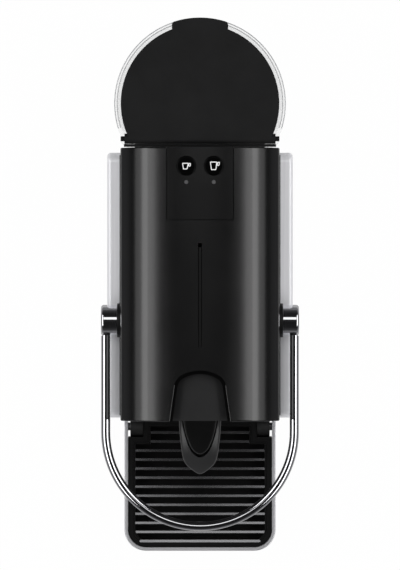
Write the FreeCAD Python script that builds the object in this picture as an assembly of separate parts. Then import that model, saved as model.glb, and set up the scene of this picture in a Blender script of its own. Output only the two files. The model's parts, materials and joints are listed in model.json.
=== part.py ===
import FreeCAD, Part
import math
import os
from FreeCAD import Vector

# A narrow pod coffee machine standing on its feet, front towards -Y, millimetres.
# The origin is on the table under the middle of the whole machine.

# Body core and its arched cover
core_width = 94.4
body_front = -75.3
body_length = 162.0
crown_height = 235.0
crown_radius = 110.0
shoulder_radius = 28.0
shoulder_span = 24.1
eave_radius = 5.0
cover_drop = 44.5
cover_wall = 2.2
cover_edge_round = 0.8
seam = 0.15
past = 1.0
pick = 0.01

# Base, feet and inner casing
foot_height = 3.0
foot_radius = 7.0
foot_inset = 12.0
foot_rear_inset = 24.0
base_thickness = 3.0
chassis_wall = 2.2
inner_wall = 2.2
ledge_width = 4.0
ledge_height = 4.0
shelf_top = 84.5
shelf_thickness = 2.5
bay_depth = 67.3

# Side panels
panel_depth = 8.5
panel_wall = 1.6
panel_bottom = 12.0
panel_corner = 5.5
panel_edge_round = 2.5
panel_front_setback = 1.0
panel_rear_setback = 2.0

# Casing screws
screw_radius = 1.4
screw_length = 7.0
screw_head_radius = 2.6
screw_head_height = 1.8
screw_play = 0.1
screw_boss_radius = 3.5
screw_end_inset = 20.0
screw_low_height = 40.0
screw_high_drop = 18.0

# Lever: chrome handle, hubs, cranks
lever_setback = 59.5
lever_clear = 0.4
washer_radius = 10.1
washer_length = 2.2
hub_gap = 0.2
hub_radius = 9.25
hub_length = 9.4
hub_edge_round = 1.6
rod_diameter = 5.4
handle_leg = 66.7
axle_radius = 5.0
axle_play = 0.2
running_clearance = 0.05
crank_start_angle = 45.0
crank_eye = 3.6
crank_root_wall = 1.8
crank_headroom = 1.5
crank_thickness = 4.0
crank_pin_radius = 2.0
crank_pin_tail = 0.8
slot_play = 0.8

# Brew unit, worked out sideways from the cover's wall towards the middle
tower_gap = 1.5
tower_thickness = 5.0
tower_radius = 7.5
arm_gap = 2.0
wing_gap = 1.0
wing_thickness = 3.5
wing_rim = 2.2
plate_gap = 0.5
plate_thickness = 3.0
carriage_gap = 0.7
brew_drop = 15.0
cage_radius = 19.0
cage_bore = 15.4
cage_rear_wall = 3.0
cage_length = 29.1
carriage_thickness = 5.5
guide_height = 10.0
guide_depth = 1.0
guide_play = 0.3
frame_rise = 18.0
frame_drop = 26.0
frame_floor = 3.0
frame_tail = 40.0
blade_count = 3
blade_length = 5.0
blade_width = 3.0
blade_thickness = 0.8
blade_circle = 9.0
tube_radius = 2.5
tube_bore = 1.25
tube_length = 59.5
seal_block_width = 18.0
seal_block_length = 12.0
seal_block_top = 8.0

# Capsule slot in the cover and its shutter
chute_front_half = 18.1
chute_taper = 0.1395
chute_depth = 29.9
chute_dome_radius = 22.0
chute_corner_radius = 9.0
chute_bevel_drop = 0.4
chute_bevel_width = 0.7
shutter_gap = 4.4
shutter_radius = 80.0
shutter_thickness = 1.8
shutter_overlap = 2.0
shutter_setback = 0.3
shutter_neck_half = 8.0

# Control plate, buttons and lights
plate_half = 19.6
plate_length = 42.8
plate_seam = 0.4
plate_flange = 2.2
plate_flange_thickness = 1.5
button_radius = 5.66
button_spacing = 16.2
button_rear_inset = 11.1
button_play = 0.2
button_flange = 0.9
button_flange_thickness = 1.4
button_travel = 1.2
button_stem_radius = 2.0
button_stem_length = 1.8
button_edge_round = 0.6
light_radius = 1.12
light_rear_inset = 20.7
board_thickness = 1.6
board_half = 18.0
board_length = 32.0
board_drop = 10.5
board_post_radius = 1.6
board_post_inset = 2.0
switch_half = 4.0
switch_gap = 0.3
groove_width = 2.2
groove_slit = 0.5
groove_front_inset = 52.9
groove_length = 52.4
groove_depth = 1.0
notch_length = 2.4

# Front of the head: fascia, extraction plate, nose and spout
fascia_setback = 0.8
fascia_thickness = 2.0
fascia_skirt = 31.5
extraction_radius = 17.5
extraction_thickness = 2.4
extraction_port = 6.0
extraction_hole = 0.8
extraction_hole_count = 8
nose_half = 9.9
nose_reach = 21.4
nose_shape = ((1.0, 0.0), (0.97, 0.16), (0.89, 0.35), (0.77, 0.55), (0.61, 0.74), (0.38, 0.91), (0.0, 1.0))
nose_rise = 18.0
nose_drop = 36.0
nose_slope = 9.0
nose_edge_round = 1.6
nose_gap = 1.1
nose_tip_gap = 3.0
spout_half = 13.1
spout_reach = 35.5
spout_shape = ((1.0, 0.0), (0.955, 0.27), (0.885, 0.53), (0.79, 0.735), (0.68, 0.82), (0.49, 0.89),
               (0.27, 0.955), (0.0, 1.0))
spout_rise = -14.0
spout_drop = 56.0
spout_edge_round = 2.0
spout_dome = 36.0
spout_dome_reach = 8.0
spout_taper = 2.2
spout_wall = 2.0
spout_hollow = 14.0
nozzle_radius = 2.9
nozzle_bore = 1.8
nozzle_out = 12.3
nozzle_spread = 4.2
nozzle_reach = 12.0

# Water tank, lid and plinth
tank_gap = 1.0
tank_centre_setback = 24.8
tank_overhang = 3.5
tank_side_flat = 3.8
tank_draft = 5.0
tank_front_corner = 3.0
tank_wall = 2.0
tank_floor = 2.5
tank_rim_drop = 7.1
tank_lift_gap = 0.3
ledge_reach = 2.7
ledge_thickness = 1.6
lid_drop = 4.0
lid_margin = 3.9
lid_thickness = 3.8
lid_edge_round = 0.7
lid_gap = 0.3
lid_hinge_setback = 4.0
lid_barrel_radius = 3.0
lid_pin_radius = 1.5
lid_tab_half = 16.6
lid_tab_corner = 2.0
plinth_top = 83.7
plinth_inset = 6.5
plinth_wall = 2.2
valve_setback = 16.3
valve_flange_radius = 9.0
valve_flange_thickness = 2.0
valve_stem_radius = 5.0
valve_plug_radius = 7.0
valve_plug_length = 8.0
socket_radius = 9.9
socket_bore = 8.3
socket_floor = 72.0
socket_bottom = 66.0
socket_flange = 3.1
socket_flange_thickness = 3.0
seal_height = 2.5
seal_bore = 6.3
gland_height = 22.0
gland_radius = 5.0
gland_flange_radius = 7.5
gland_bore = 3.6
gland_proud = 0.9
gland_depth = 5.0

# Slide-out module: drip base and capsule bin
module_play = 0.3
drip_base_side_gap = 0.8
drip_base_height = 10.7
drip_base_floor = 2.5
drip_base_wall = 2.0
drip_base_corner = 12.0
drip_base_front_inset = 6.2
drip_skirt_bottom = 1.2
drip_rib_count = 5
drip_rib_width = 2.0
bin_side_gap = 3.5
bin_wall = 2.0
bin_front_setback = 2.3
bin_top_gap = 1.0
bin_rear_gap = 4.0
bin_grip_half = 16.0
bin_grip_height = 9.0
bin_grip_drop = 9.0
bin_grip_depth = 1.2

# Folding cup support
cup_reach = 87.9
cup_overhang = 0.7
cup_top = 37.5
hoop_wall = 2.1
hoop_height = 12.0
hoop_corner = 13.6
hoop_edge_round = 0.5
cup_hinge_setback = 9.2
knuckle_radius = 6.3
knuckle_gap = 1.6
knuckle_length = 8.0
cup_pin_radius = 2.5
cup_pin_grip = 5.0
tray_gap = 0.2
tray_depth = 17.0
tray_floor = 2.0
tray_rim = 3.4
tray_rear_tail = 4.5
tray_sink = 0.9
grid_gap = 0.2
grid_ring = 1.0
grid_height = 4.4
grid_seat = 1.2
slat_pitch = 5.74
slat_width = 1.9
slat_fall = 0.35
slat_round = 0.3
slat_front_inset = 6.15

# Pump, heater, flow meter, boards and hoses
pump_x = -16.0
pump_radius = 9.0
pump_head = 12.0
pump_coil_half = 20.0
pump_coil_height = 36.0
pump_coil_length = 36.0
pump_mount_height = 9.0
pump_mount_width = 8.0
pump_spigot = 8.0
heater_half_width = 28.0
heater_height = 34.0
heater_lift = 7.5
heater_rear_gap = 9.0
heater_front_gap = 2.0
heater_inlet_rise = 8.5
heater_corner = 9.0
heater_post_radius = 4.0
flow_meter_radius = 12.0
flow_meter_height = 16.0
flow_meter_x = 20.0
flow_meter_rear_inset = 25.7
main_board_side_gap = 7.4
main_board_length = 64.0
main_board_height = 52.0
main_board_lift = 13.5
standoff_radius = 2.5
standoff_inset = 5.0
hose_radius = 2.5
hose_bend = 8.0
hose_passage = 5.0
spigot_radius = 2.0
port_length = 6.0

# Lines and levels shared by several pieces
core_half = core_width / 2
body_rear = body_front + body_length
panel_top = crown_height - cover_drop
base_top = foot_height + base_thickness
bay_half = core_half - chassis_wall
crown_axis = crown_height - crown_radius
shoulder_x = core_half - shoulder_span
shoulder_reach = crown_radius - shoulder_radius
shoulder_z = crown_axis + math.sqrt(shoulder_reach ** 2 - shoulder_x ** 2)
shoulder_lean = math.asin(shoulder_x / shoulder_reach)
eave_x = core_half - eave_radius
eave_reach = shoulder_radius - eave_radius
eave_z = shoulder_z + math.sqrt(eave_reach ** 2 - (eave_x - shoulder_x) ** 2)
eave_lean = math.asin((eave_x - shoulder_x) / eave_reach)
lever_y = body_front + lever_setback
lever_z = panel_top + lever_clear + washer_radius
hub_inner = core_half + washer_length + hub_gap
hub_outer = hub_inner + hub_length
rod_radius = rod_diameter / 2
leg_x = hub_outer - rod_radius
tower_outer = bay_half - tower_gap
tower_inner = tower_outer - tower_thickness
arm_outer = tower_inner - arm_gap
arm_inner = arm_outer - crank_thickness
wing_outer = arm_inner - wing_gap
wing_inner = wing_outer - wing_thickness
plate_outer = wing_inner - plate_gap
plate_inner = plate_outer - plate_thickness
carriage_half = plate_inner - carriage_gap
brew_z = lever_z - brew_drop
fascia_front = body_front + fascia_setback
fascia_rear = fascia_front + fascia_thickness
extraction_rear = fascia_rear + extraction_thickness
cage_front = extraction_rear + module_play
cage_rear = cage_front + cage_length
carriage_rear = cage_rear + carriage_thickness
frame_bottom = brew_z - frame_drop
frame_floor_top = frame_bottom + frame_floor
frame_top = brew_z + frame_rise
frame_rear = lever_y + frame_tail
fascia_bottom = frame_bottom - fascia_skirt
bay_rear = body_front + bay_depth
rear_wall_front = body_rear - seam - inner_wall
shutter_top = crown_height - cover_wall - shutter_gap
shutter_axis = shutter_top - shutter_radius
shutter_inner_radius = shutter_radius - shutter_thickness
plate_front = body_rear - plate_length
button_y = body_rear - button_rear_inset
light_y = body_rear - light_rear_inset
button_x = button_spacing / 2
board_top = crown_height - board_drop
tank_front = body_rear + tank_gap
tank_y = tank_front + tank_centre_setback
tank_radius = core_half + tank_overhang
tank_half_width = tank_radius - tank_side_flat
lid_radius = tank_radius - lid_margin
tank_bottom = plinth_top + tank_lift_gap
tank_rim = crown_height - tank_rim_drop
lid_top = crown_height - lid_drop
lid_bottom = lid_top - lid_thickness
lid_hinge_y = tank_front + lid_hinge_setback
lid_hinge_z = lid_top - lid_barrel_radius
plinth_radius = tank_radius - plinth_inset
plinth_half = tank_half_width - plinth_inset
valve_y = tank_front + valve_setback
cup_front = body_front - cup_reach
cup_half = core_half + cup_overhang
cup_hinge_y = body_front - cup_hinge_setback
hoop_bottom = cup_top - hoop_height
cup_hinge_z = cup_top - hoop_height / 2 - seam
knuckle_outer = cup_half - hoop_wall - knuckle_gap
knuckle_inner = knuckle_outer - knuckle_length
drip_base_bottom = base_top + module_play
drip_base_top = drip_base_bottom + drip_base_height
drip_base_half = bay_half - drip_base_side_gap
drip_base_front = cup_front + drip_base_front_inset
bin_half = bay_half - bin_side_gap
bin_front = body_front + bin_front_setback
bin_rear = bay_rear - bin_rear_gap
bin_bottom = drip_base_bottom + drip_base_floor
bin_top = fascia_bottom - bin_top_gap
tray_top = cup_top - tray_sink
tray_half = cup_half - hoop_wall - tray_gap
tray_front = cup_front + hoop_wall + tray_gap
pump_z = base_top + pump_mount_height + pump_coil_height / 2
mid_room_y = (bay_rear + rear_wall_front) / 2
riser_y = bay_rear + inner_wall + pump_head
heater_bottom = shelf_top + heater_lift
heater_inlet_z = heater_bottom + heater_inlet_rise
heater_front = riser_y + hose_bend + port_length + heater_front_gap
heater_rear = rear_wall_front - heater_rear_gap
heater_y = (heater_front + heater_rear) / 2
board_face = bay_half - main_board_side_gap
main_board_bottom = shelf_top + main_board_lift
feed_z = (frame_floor_top + brew_z) / 2
flow_meter_y = tank_y + plinth_radius - flow_meter_rear_inset


def box(x0, x1, y0, y1, z0, z1):
    return Part.makeBox(x1 - x0, y1 - y0, z1 - z0, Vector(x0, y0, z0))


def rod(radius, start, end):
    line = end - start
    return Part.makeCylinder(radius, line.Length, start, line)


def cross_rod(radius, x0, x1, y, z):
    return rod(radius, Vector(x0, y, z), Vector(x1, y, z))


def upright(radius, x, y, z0, z1):
    return rod(radius, Vector(x, y, z0), Vector(x, y, z1))


def lengthwise(radius, x, y0, y1, z):
    return rod(radius, Vector(x, y0, z), Vector(x, y1, z))


def joined(first, *others):
    return first.fuse(list(others)).removeSplitter()


def picked_edges(shape, test):
    return [edge for edge in shape.Edges if test(edge.BoundBox)]


def rounded_face(corners, to_space):
    # A closed outline of (u, v, corner radius), filled flat
    ends = []
    for index, (u, v, radius) in enumerate(corners):
        here = Vector(u, v, 0)
        back = (Vector(*corners[index - 1][:2], 0) - here).normalize()
        ahead = (Vector(*corners[(index + 1) % len(corners)][:2], 0) - here).normalize()
        if radius == 0:
            ends.append((here, None, here))
            continue
        half_angle = back.getAngle(ahead) / 2
        setback = radius / math.tan(half_angle)
        inward = (back + ahead).normalize()
        middle = here + inward * (radius / math.sin(half_angle) - radius)
        ends.append((here + back * setback, middle, here + ahead * setback))
    edges = []
    for index, (start, middle, end) in enumerate(ends):
        if middle is not None:
            arc = Part.Arc(to_space(start), to_space(middle), to_space(end))
            edges.append(arc.toShape())
        onward = ends[(index + 1) % len(ends)][0]
        edges.append(Part.LineSegment(to_space(end), to_space(onward)).toShape())
    return Part.Face(Part.Wire(edges))


def plan_slab(corners, z0, z1):
    face = rounded_face(corners, lambda point: Vector(point.x, point.y, z0))
    return face.extrude(Vector(0, 0, z1 - z0))


def side_slab(corners, x0, x1):
    face = rounded_face(corners, lambda point: Vector(x0, point.x, point.y))
    return face.extrude(Vector(x1 - x0, 0, 0))


def mirrored(shape):
    return shape.mirror(Vector(0, 0, 0), Vector(1, 0, 0))


def both_sides(shape):
    return Part.makeCompound([shape, mirrored(shape)])


def ceiling(x, inset):
    # Height of the cover's arch, or of a face parallel to it, at a distance from the middle
    crown = crown_radius - inset
    shoulder = shoulder_radius - inset
    if abs(x) <= crown * math.sin(shoulder_lean):
        return crown_axis + math.sqrt(crown ** 2 - x ** 2)
    if abs(x) <= shoulder_x + shoulder * math.sin(eave_lean):
        return shoulder_z + math.sqrt(shoulder ** 2 - (abs(x) - shoulder_x) ** 2)
    return eave_z + math.sqrt((eave_radius - inset) ** 2 - (abs(x) - eave_x) ** 2)


def arch_block(inset, bottom, y0, y1):
    # Solid with the cover's arched section, pulled in by inset: crown, shoulders, eaves and walls
    half = core_half - inset
    crown_top = crown_height - inset

    def on_shoulder(lean):
        reach = shoulder_radius - inset
        return shoulder_x + reach * math.sin(lean), shoulder_z + reach * math.cos(lean)

    def on_eave(lean):
        reach = eave_radius - inset
        return eave_x + reach * math.sin(lean), eave_z + reach * math.cos(lean)

    join = on_shoulder(shoulder_lean)
    bulge = on_shoulder((shoulder_lean + eave_lean) / 2)
    turn = on_shoulder(eave_lean)
    edge = on_eave((eave_lean + math.pi / 2) / 2)

    def at(point, side):
        return Vector(side * point[0], y0, point[1])

    edges = [Part.LineSegment(at((half, bottom), -1), at((half, bottom), 1)).toShape(),
             Part.Arc(at(join, 1), Vector(0, y0, crown_top), at(join, -1)).toShape()]
    for side in (-1, 1):
        edges.append(Part.LineSegment(at((half, bottom), side), at((half, eave_z), side)).toShape())
        edges.append(Part.Arc(at((half, eave_z), side), at(edge, side), at(turn, side)).toShape())
        edges.append(Part.Arc(at(turn, side), at(bulge, side), at(join, side)).toShape())
    return Part.Face(Part.Wire(Part.__sortEdges__(edges))).extrude(Vector(0, y1 - y0, 0))


def arch_shell(inset, thickness, bottom, y0, y1):
    outer = arch_block(inset, bottom, y0, y1)
    return outer.cut(arch_block(inset + thickness, bottom - past, y0 - past, y1 + past))


def chute_block(z0, z1):
    # Plan of the capsule slot: tapered sides, two corner arcs and a flat dome, open to the front
    dome_y = body_front + chute_depth - chute_dome_radius
    along = Vector(-chute_taper, math.sqrt(1 - chute_taper ** 2), 0)
    inward = Vector(-along.y, along.x, 0)
    foot = Vector(chute_front_half, body_front, 0)
    start = foot + inward * chute_corner_radius - Vector(0, dome_y, 0)
    reach = chute_dome_radius - chute_corner_radius
    half_b = start.dot(along)
    run = -half_b + math.sqrt(half_b ** 2 - start.dot(start) + reach ** 2)
    centre = start + along * run + Vector(0, dome_y, 0)
    side_end = foot + along * run
    from_dome = (centre - Vector(0, dome_y, 0)).normalize()
    dome_end = Vector(0, dome_y, 0) + from_dome * chute_dome_radius
    middle = centre + (from_dome - inward).normalize() * chute_corner_radius
    mouth = foot - along * chute_corner_radius

    def at(point, side):
        return Vector(point.x * side, point.y, z0)

    edges = [
        Part.LineSegment(at(mouth, -1), at(mouth, 1)).toShape(),
        Part.LineSegment(at(mouth, 1), at(side_end, 1)).toShape(),
        Part.Arc(at(side_end, 1), at(middle, 1), at(dome_end, 1)).toShape(),
        Part.Arc(at(dome_end, 1), Vector(0, body_front + chute_depth, z0), at(dome_end, -1)).toShape(),
        Part.Arc(at(dome_end, -1), at(middle, -1), at(side_end, -1)).toShape(),
        Part.LineSegment(at(side_end, -1), at(mouth, -1)).toShape(),
    ]
    return Part.Face(Part.Wire(edges)).extrude(Vector(0, 0, z1 - z0))


def tank_wire(radius, half, front, corner, z):
    # Round at the back, straight sides and a flat front
    side_y = tank_y - math.sqrt(radius ** 2 - half ** 2)
    nick = corner * (1 - math.sqrt(0.5))

    def at(x, y):
        return Vector(x, y, z)

    edges = [
        Part.Arc(at(half, side_y), at(0, tank_y + radius), at(-half, side_y)).toShape(),
        Part.LineSegment(at(-half, side_y), at(-half, front + corner)).toShape(),
        Part.Arc(at(-half, front + corner), at(nick - half, front + nick),
                 at(corner - half, front)).toShape(),
        Part.LineSegment(at(corner - half, front), at(half - corner, front)).toShape(),
        Part.Arc(at(half - corner, front), at(half - nick, front + nick),
                 at(half, front + corner)).toShape(),
        Part.LineSegment(at(half, front + corner), at(half, side_y)).toShape(),
    ]
    return Part.Wire(edges)


def tank_block(wall, z0, z1):
    # The tank's plan pulled in by a wall, and narrowing downwards by the draft
    wires = []
    for z in (z0, z1):
        inset = wall + tank_draft * (tank_rim - z) / (tank_rim - tank_bottom)
        wires.append(tank_wire(tank_radius - inset, tank_half_width - inset, tank_front + wall,
                               tank_front_corner - wall / 2, z))
    return Part.makeLoft(wires, True, True)


def plinth_block(wall, front, z0, z1):
    plan = tank_wire(plinth_radius - wall, plinth_half - wall, front, seam, z0)
    return Part.Face(plan).extrude(Vector(0, 0, z1 - z0))


def hose(points, radius, bend):
    # Round hose along straight runs joined by tangent arcs
    edges = []
    start = points[0]
    for before, corner, after in zip(points, points[1:], points[2:]):
        back = (before - corner).normalize()
        ahead = (after - corner).normalize()
        half_angle = back.getAngle(ahead) / 2
        setback = bend / math.tan(half_angle)
        middle = corner + (back + ahead).normalize() * (bend / math.sin(half_angle) - bend)
        edges.append(Part.LineSegment(start, corner + back * setback).toShape())
        edges.append(Part.Arc(corner + back * setback, middle, corner + ahead * setback).toShape())
        start = corner + ahead * setback
    edges.append(Part.LineSegment(start, points[-1]).toShape())
    ring = Part.makeCircle(radius, points[0], points[1] - points[0])
    return Part.Wire(edges).makePipeShell([Part.Wire(ring)], True, False)


# Throw of the lever cranks, as long as the cover leaves room for, and the pins they carry
crank_radius = ceiling(arm_outer, cover_wall) - crank_headroom - crank_eye - lever_z
crank_angle = math.radians(crank_start_angle)
crank_pin_y = lever_y - crank_radius * math.cos(crank_angle)
crank_pin_z = lever_z + crank_radius * math.sin(crank_angle)

# Places of the casing screws along each side, seen from the side: (y, z)
panel_front = body_front + panel_front_setback
panel_rear = body_rear - panel_rear_setback
panel_screw_places = [
    (y, z)
    for y in (panel_front + screw_end_inset, panel_rear - screw_end_inset)
    for z in (screw_low_height, panel_top - screw_high_drop)
]


def base_pan():
    front = fascia_rear
    pan = box(-core_half, core_half, front, body_rear, foot_height, base_top)
    return joined(pan, plinth_block(0, body_rear, foot_height, base_top))


def feet():
    front_pad = upright(foot_radius, core_half - foot_inset, fascia_rear + foot_inset, 0, foot_height)
    rear_y = tank_y + plinth_radius - foot_rear_inset
    rear_pad = upright(foot_radius, core_half - foot_rear_inset, rear_y, 0, foot_height)
    return both_sides(Part.makeCompound([front_pad, rear_pad]))


def left_chassis_wall():
    wall = box(-core_half, -bay_half, fascia_rear, body_rear - seam, base_top, panel_top)
    brew_ledge = box(-bay_half, ledge_width - bay_half, fascia_rear, frame_rear,
                     frame_bottom - ledge_height, frame_bottom)
    shelf_bottom = shelf_top - shelf_thickness
    shelf_ledge = box(-bay_half, ledge_width - bay_half, bay_rear + inner_wall, rear_wall_front,
                      shelf_bottom - ledge_height, shelf_bottom)
    wall = joined(wall, brew_ledge, shelf_ledge)
    for y, z in panel_screw_places:
        wall = wall.cut(cross_rod(screw_radius + screw_play, -core_half - past, past - bay_half, y, z))
    return wall


def left_side_panel():
    outer = core_half + panel_depth
    corners = [(panel_front, panel_bottom), (panel_rear, panel_bottom),
               (panel_rear, panel_top), (panel_front, panel_top)]
    panel = side_slab([(y, z, panel_corner) for y, z in corners], -outer, -core_half)
    rim = picked_edges(panel, lambda b: b.XMax < pick - outer)
    panel = panel.makeFillet(panel_edge_round, rim)
    inner = [(panel_front + panel_wall, panel_bottom + panel_wall),
             (panel_rear - panel_wall, panel_bottom + panel_wall),
             (panel_rear - panel_wall, panel_top - panel_wall),
             (panel_front + panel_wall, panel_top - panel_wall)]
    hollow = side_slab([(y, z, panel_corner - panel_wall) for y, z in inner], panel_wall - outer, -core_half)
    panel = panel.cut(hollow)
    for y, z in panel_screw_places:
        panel = joined(panel, cross_rod(screw_boss_radius, panel_wall - outer, -core_half, y, z))
        depth = screw_length - chassis_wall + screw_play
        panel = panel.cut(cross_rod(screw_radius + screw_play, -core_half - depth, -core_half, y, z))
    return panel


def casing_screws():
    screws = []
    for y, z in panel_screw_places:
        head = cross_rod(screw_head_radius, -bay_half, screw_head_height - bay_half, y, z)
        screws.append(joined(head, cross_rod(screw_radius, -bay_half - screw_length, -bay_half, y, z)))
    return both_sides(Part.makeCompound(screws))


def rear_wall():
    wall = arch_block(cover_wall + seam, base_top, rear_wall_front, body_rear - seam)
    slot = plate_half + plate_flange + seam
    dropped = cover_wall + seam + plate_flange_thickness + seam
    shelf = arch_block(dropped, base_top, rear_wall_front, body_rear - seam)
    notch = box(-slot, slot, rear_wall_front, body_rear, ceiling(slot, dropped), crown_height)
    wall = wall.cut(notch.cut(shelf))
    return wall.cut(lengthwise(pump_radius, pump_x, rear_wall_front - past, body_rear, pump_z))


def bay_wall():
    return box(-bay_half, bay_half, bay_rear, bay_rear + inner_wall, base_top, frame_bottom - ledge_height)


def service_shelf():
    bottom = shelf_top - shelf_thickness
    shelf = box(-bay_half, bay_half, bay_rear + inner_wall, rear_wall_front, bottom, shelf_top)
    return shelf.cut(upright(hose_passage, pump_x, riser_y, bottom - past, shelf_top + past))


def top_cover():
    cover = arch_block(0, panel_top, body_front, body_rear)
    ends = picked_edges(cover, lambda b: b.YLength < pick and b.ZMax > panel_top + pick)
    cover = cover.makeFillet(cover_edge_round, ends)
    cover = cover.cut(arch_block(cover_wall, panel_top - past, body_front - past, body_rear + past))
    cover = cover.cut(chute_block(shoulder_z, crown_height + past))
    on_crown = crown_radius - pick

    def on_slot(b):
        reach = math.hypot(b.Center.x, b.ZMax - crown_axis)
        return b.YMax < body_front + chute_depth + pick and b.ZMin > shoulder_z and reach > on_crown - past

    slot_edges = []
    for edge in picked_edges(cover, on_slot):
        ends_on_crown = [math.hypot(v.X, v.Z - crown_axis) > on_crown for v in edge.Vertexes]
        if all(ends_on_crown) and abs(edge.BoundBox.XMin) < chute_front_half + pick:
            slot_edges.append(edge)
    cover = cover.makeChamfer(chute_bevel_drop, chute_bevel_width, slot_edges)
    window = plate_half + plate_seam
    cover = cover.cut(box(-window, window, plate_front - plate_seam, body_rear + past,
                          shoulder_z, crown_height + past))
    groove_front = body_front + groove_front_inset
    groove_rear = groove_front + groove_length
    half = groove_width / 2
    for x in (-half, half - groove_slit):
        cover = cover.cut(box(x, x + groove_slit, groove_front, groove_rear,
                              crown_height - groove_depth, crown_height + past))
    cover = cover.cut(box(-half, half, groove_rear - notch_length, groove_rear,
                          crown_height - cover_wall - past, crown_height + past))
    bearing = axle_radius + axle_play
    return cover.cut(cross_rod(bearing, -core_half - past, core_half + past, lever_y, lever_z))


def control_plate():
    rear = rear_wall_front - seam
    plate = arch_shell(0, cover_wall + seam, panel_top, plate_front, body_rear)
    plate = plate.common(box(-plate_half, plate_half, plate_front, body_rear, shoulder_z, crown_height))
    wide = plate_half + plate_flange
    front = plate_front - plate_flange
    flange = arch_shell(cover_wall + seam, plate_flange_thickness, panel_top, front, rear)
    flange = flange.common(box(-wide, wide, front, rear, shoulder_z, crown_height))
    posts = []
    for side in (-1, 1):
        for y in (body_rear - board_length, rear - board_post_inset):
            x = side * (board_half - board_post_radius)
            posts.append(upright(board_post_radius, x, y, board_top, crown_height - cover_wall))
    under = arch_block(cover_wall, panel_top, plate_front, body_rear)
    plate = joined(plate, flange, *[post.common(under) for post in posts])
    for side in (-1, 1):
        x = side * button_x
        button_hole = button_radius + button_play
        plate = plate.cut(upright(button_hole, x, button_y, shoulder_z, crown_height + past))
        light_hole = light_radius + running_clearance
        plate = plate.cut(upright(light_hole, x, light_y, shoulder_z, crown_height + past))
    return plate


def cup_button(x):
    under = ceiling(button_x + button_radius + button_flange, cover_wall + seam + plate_flange_thickness)
    flange_top = under - button_play
    flange_bottom = flange_top - button_flange_thickness
    cap = upright(button_radius, x, button_y, flange_bottom, crown_height)
    cap = cap.makeFillet(button_edge_round, picked_edges(cap, lambda b: b.ZMin > crown_height - pick))
    flange = upright(button_radius + button_flange, x, button_y, flange_bottom, flange_top)
    stem = upright(button_stem_radius, x, button_y, flange_bottom - button_stem_length, flange_bottom)
    return joined(cap, flange, stem)


def indicator_lights():
    surface = ceiling(button_x - light_radius, 0)
    return both_sides(upright(light_radius, button_x, light_y, board_top, surface))


def control_board():
    front = body_rear - board_length - 2 * board_post_radius
    board = box(-board_half, board_half, front, rear_wall_front - seam,
                board_top - board_thickness, board_top)
    under = ceiling(button_x + button_radius + button_flange, cover_wall + seam + plate_flange_thickness)
    stem_end = under - button_play - button_flange_thickness - button_stem_length
    switch_top = stem_end - button_travel - switch_gap
    switches = []
    for side in (-1, 1):
        x = side * button_x
        half = switch_half
        switches.append(box(x - half, x + half, button_y - half, button_y + half, board_top, switch_top))
    return joined(board, *switches)


def front_fascia():
    plate = arch_block(cover_wall + seam, fascia_bottom, fascia_front, fascia_rear)
    half = chute_front_half + shutter_overlap + module_play
    slot = box(-half, half, fascia_front - past, fascia_rear + past, shutter_axis, crown_height)
    under = shutter_inner_radius - module_play
    slot = slot.cut(lengthwise(under, 0, fascia_front - past, fascia_rear + past, shutter_axis))
    plate = plate.cut(slot)
    return plate.cut(lengthwise(extraction_port, 0, fascia_front - past, fascia_rear + past, brew_z))


def extraction_plate():
    plate = lengthwise(extraction_radius, 0, fascia_rear, extraction_rear, brew_z)
    for index in range(extraction_hole_count):
        turn = 2 * math.pi * index / extraction_hole_count
        x = extraction_port / 2 * math.cos(turn)
        z = brew_z + extraction_port / 2 * math.sin(turn)
        plate = plate.cut(lengthwise(extraction_hole, x, fascia_rear - past, extraction_rear + past, z))
    return plate


def bow_wire(half, back, tip, shape, z):
    # Plan of a smooth bow in front of the fascia, its shape given as shares of its half width and length
    right = [Vector(half * x, back + (tip - back) * y, z) for x, y in shape]
    left = [Vector(-point.x, point.y, z) for point in reversed(right[:-1])]
    bow = Part.BSplineCurve()
    bow.interpolate(right + left)
    root = Part.LineSegment(left[-1], right[0]).toShape()
    return Part.Wire([bow.toShape(), root])


def nose_block(gap, tip_gap, z0, z1):
    wire = bow_wire(nose_half + gap, fascia_front, fascia_front - nose_reach - tip_gap, nose_shape, z0)
    return Part.Face(wire).extrude(Vector(0, 0, z1 - z0))


def brew_nose():
    bottom = brew_z - nose_drop
    top = brew_z + nose_rise
    nose = nose_block(0, 0, bottom, top)
    tip = fascia_front - nose_reach
    wedge = [(fascia_front, top, 0), (tip - past, top, 0), (tip - past, top - nose_slope, 0)]
    nose = nose.cut(side_slab(wedge, -nose_half - past, nose_half + past))
    upper = picked_edges(nose, lambda b: b.ZMin > top - nose_slope - past and b.YMin < fascia_front - pick)
    return nose.makeFillet(nose_edge_round, upper)


def spout_wire(inset, back, z):
    # Plan of the spout at one height, or of its hollow
    return bow_wire(spout_half - inset, back, fascia_front - spout_reach + inset, spout_shape, z)


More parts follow.
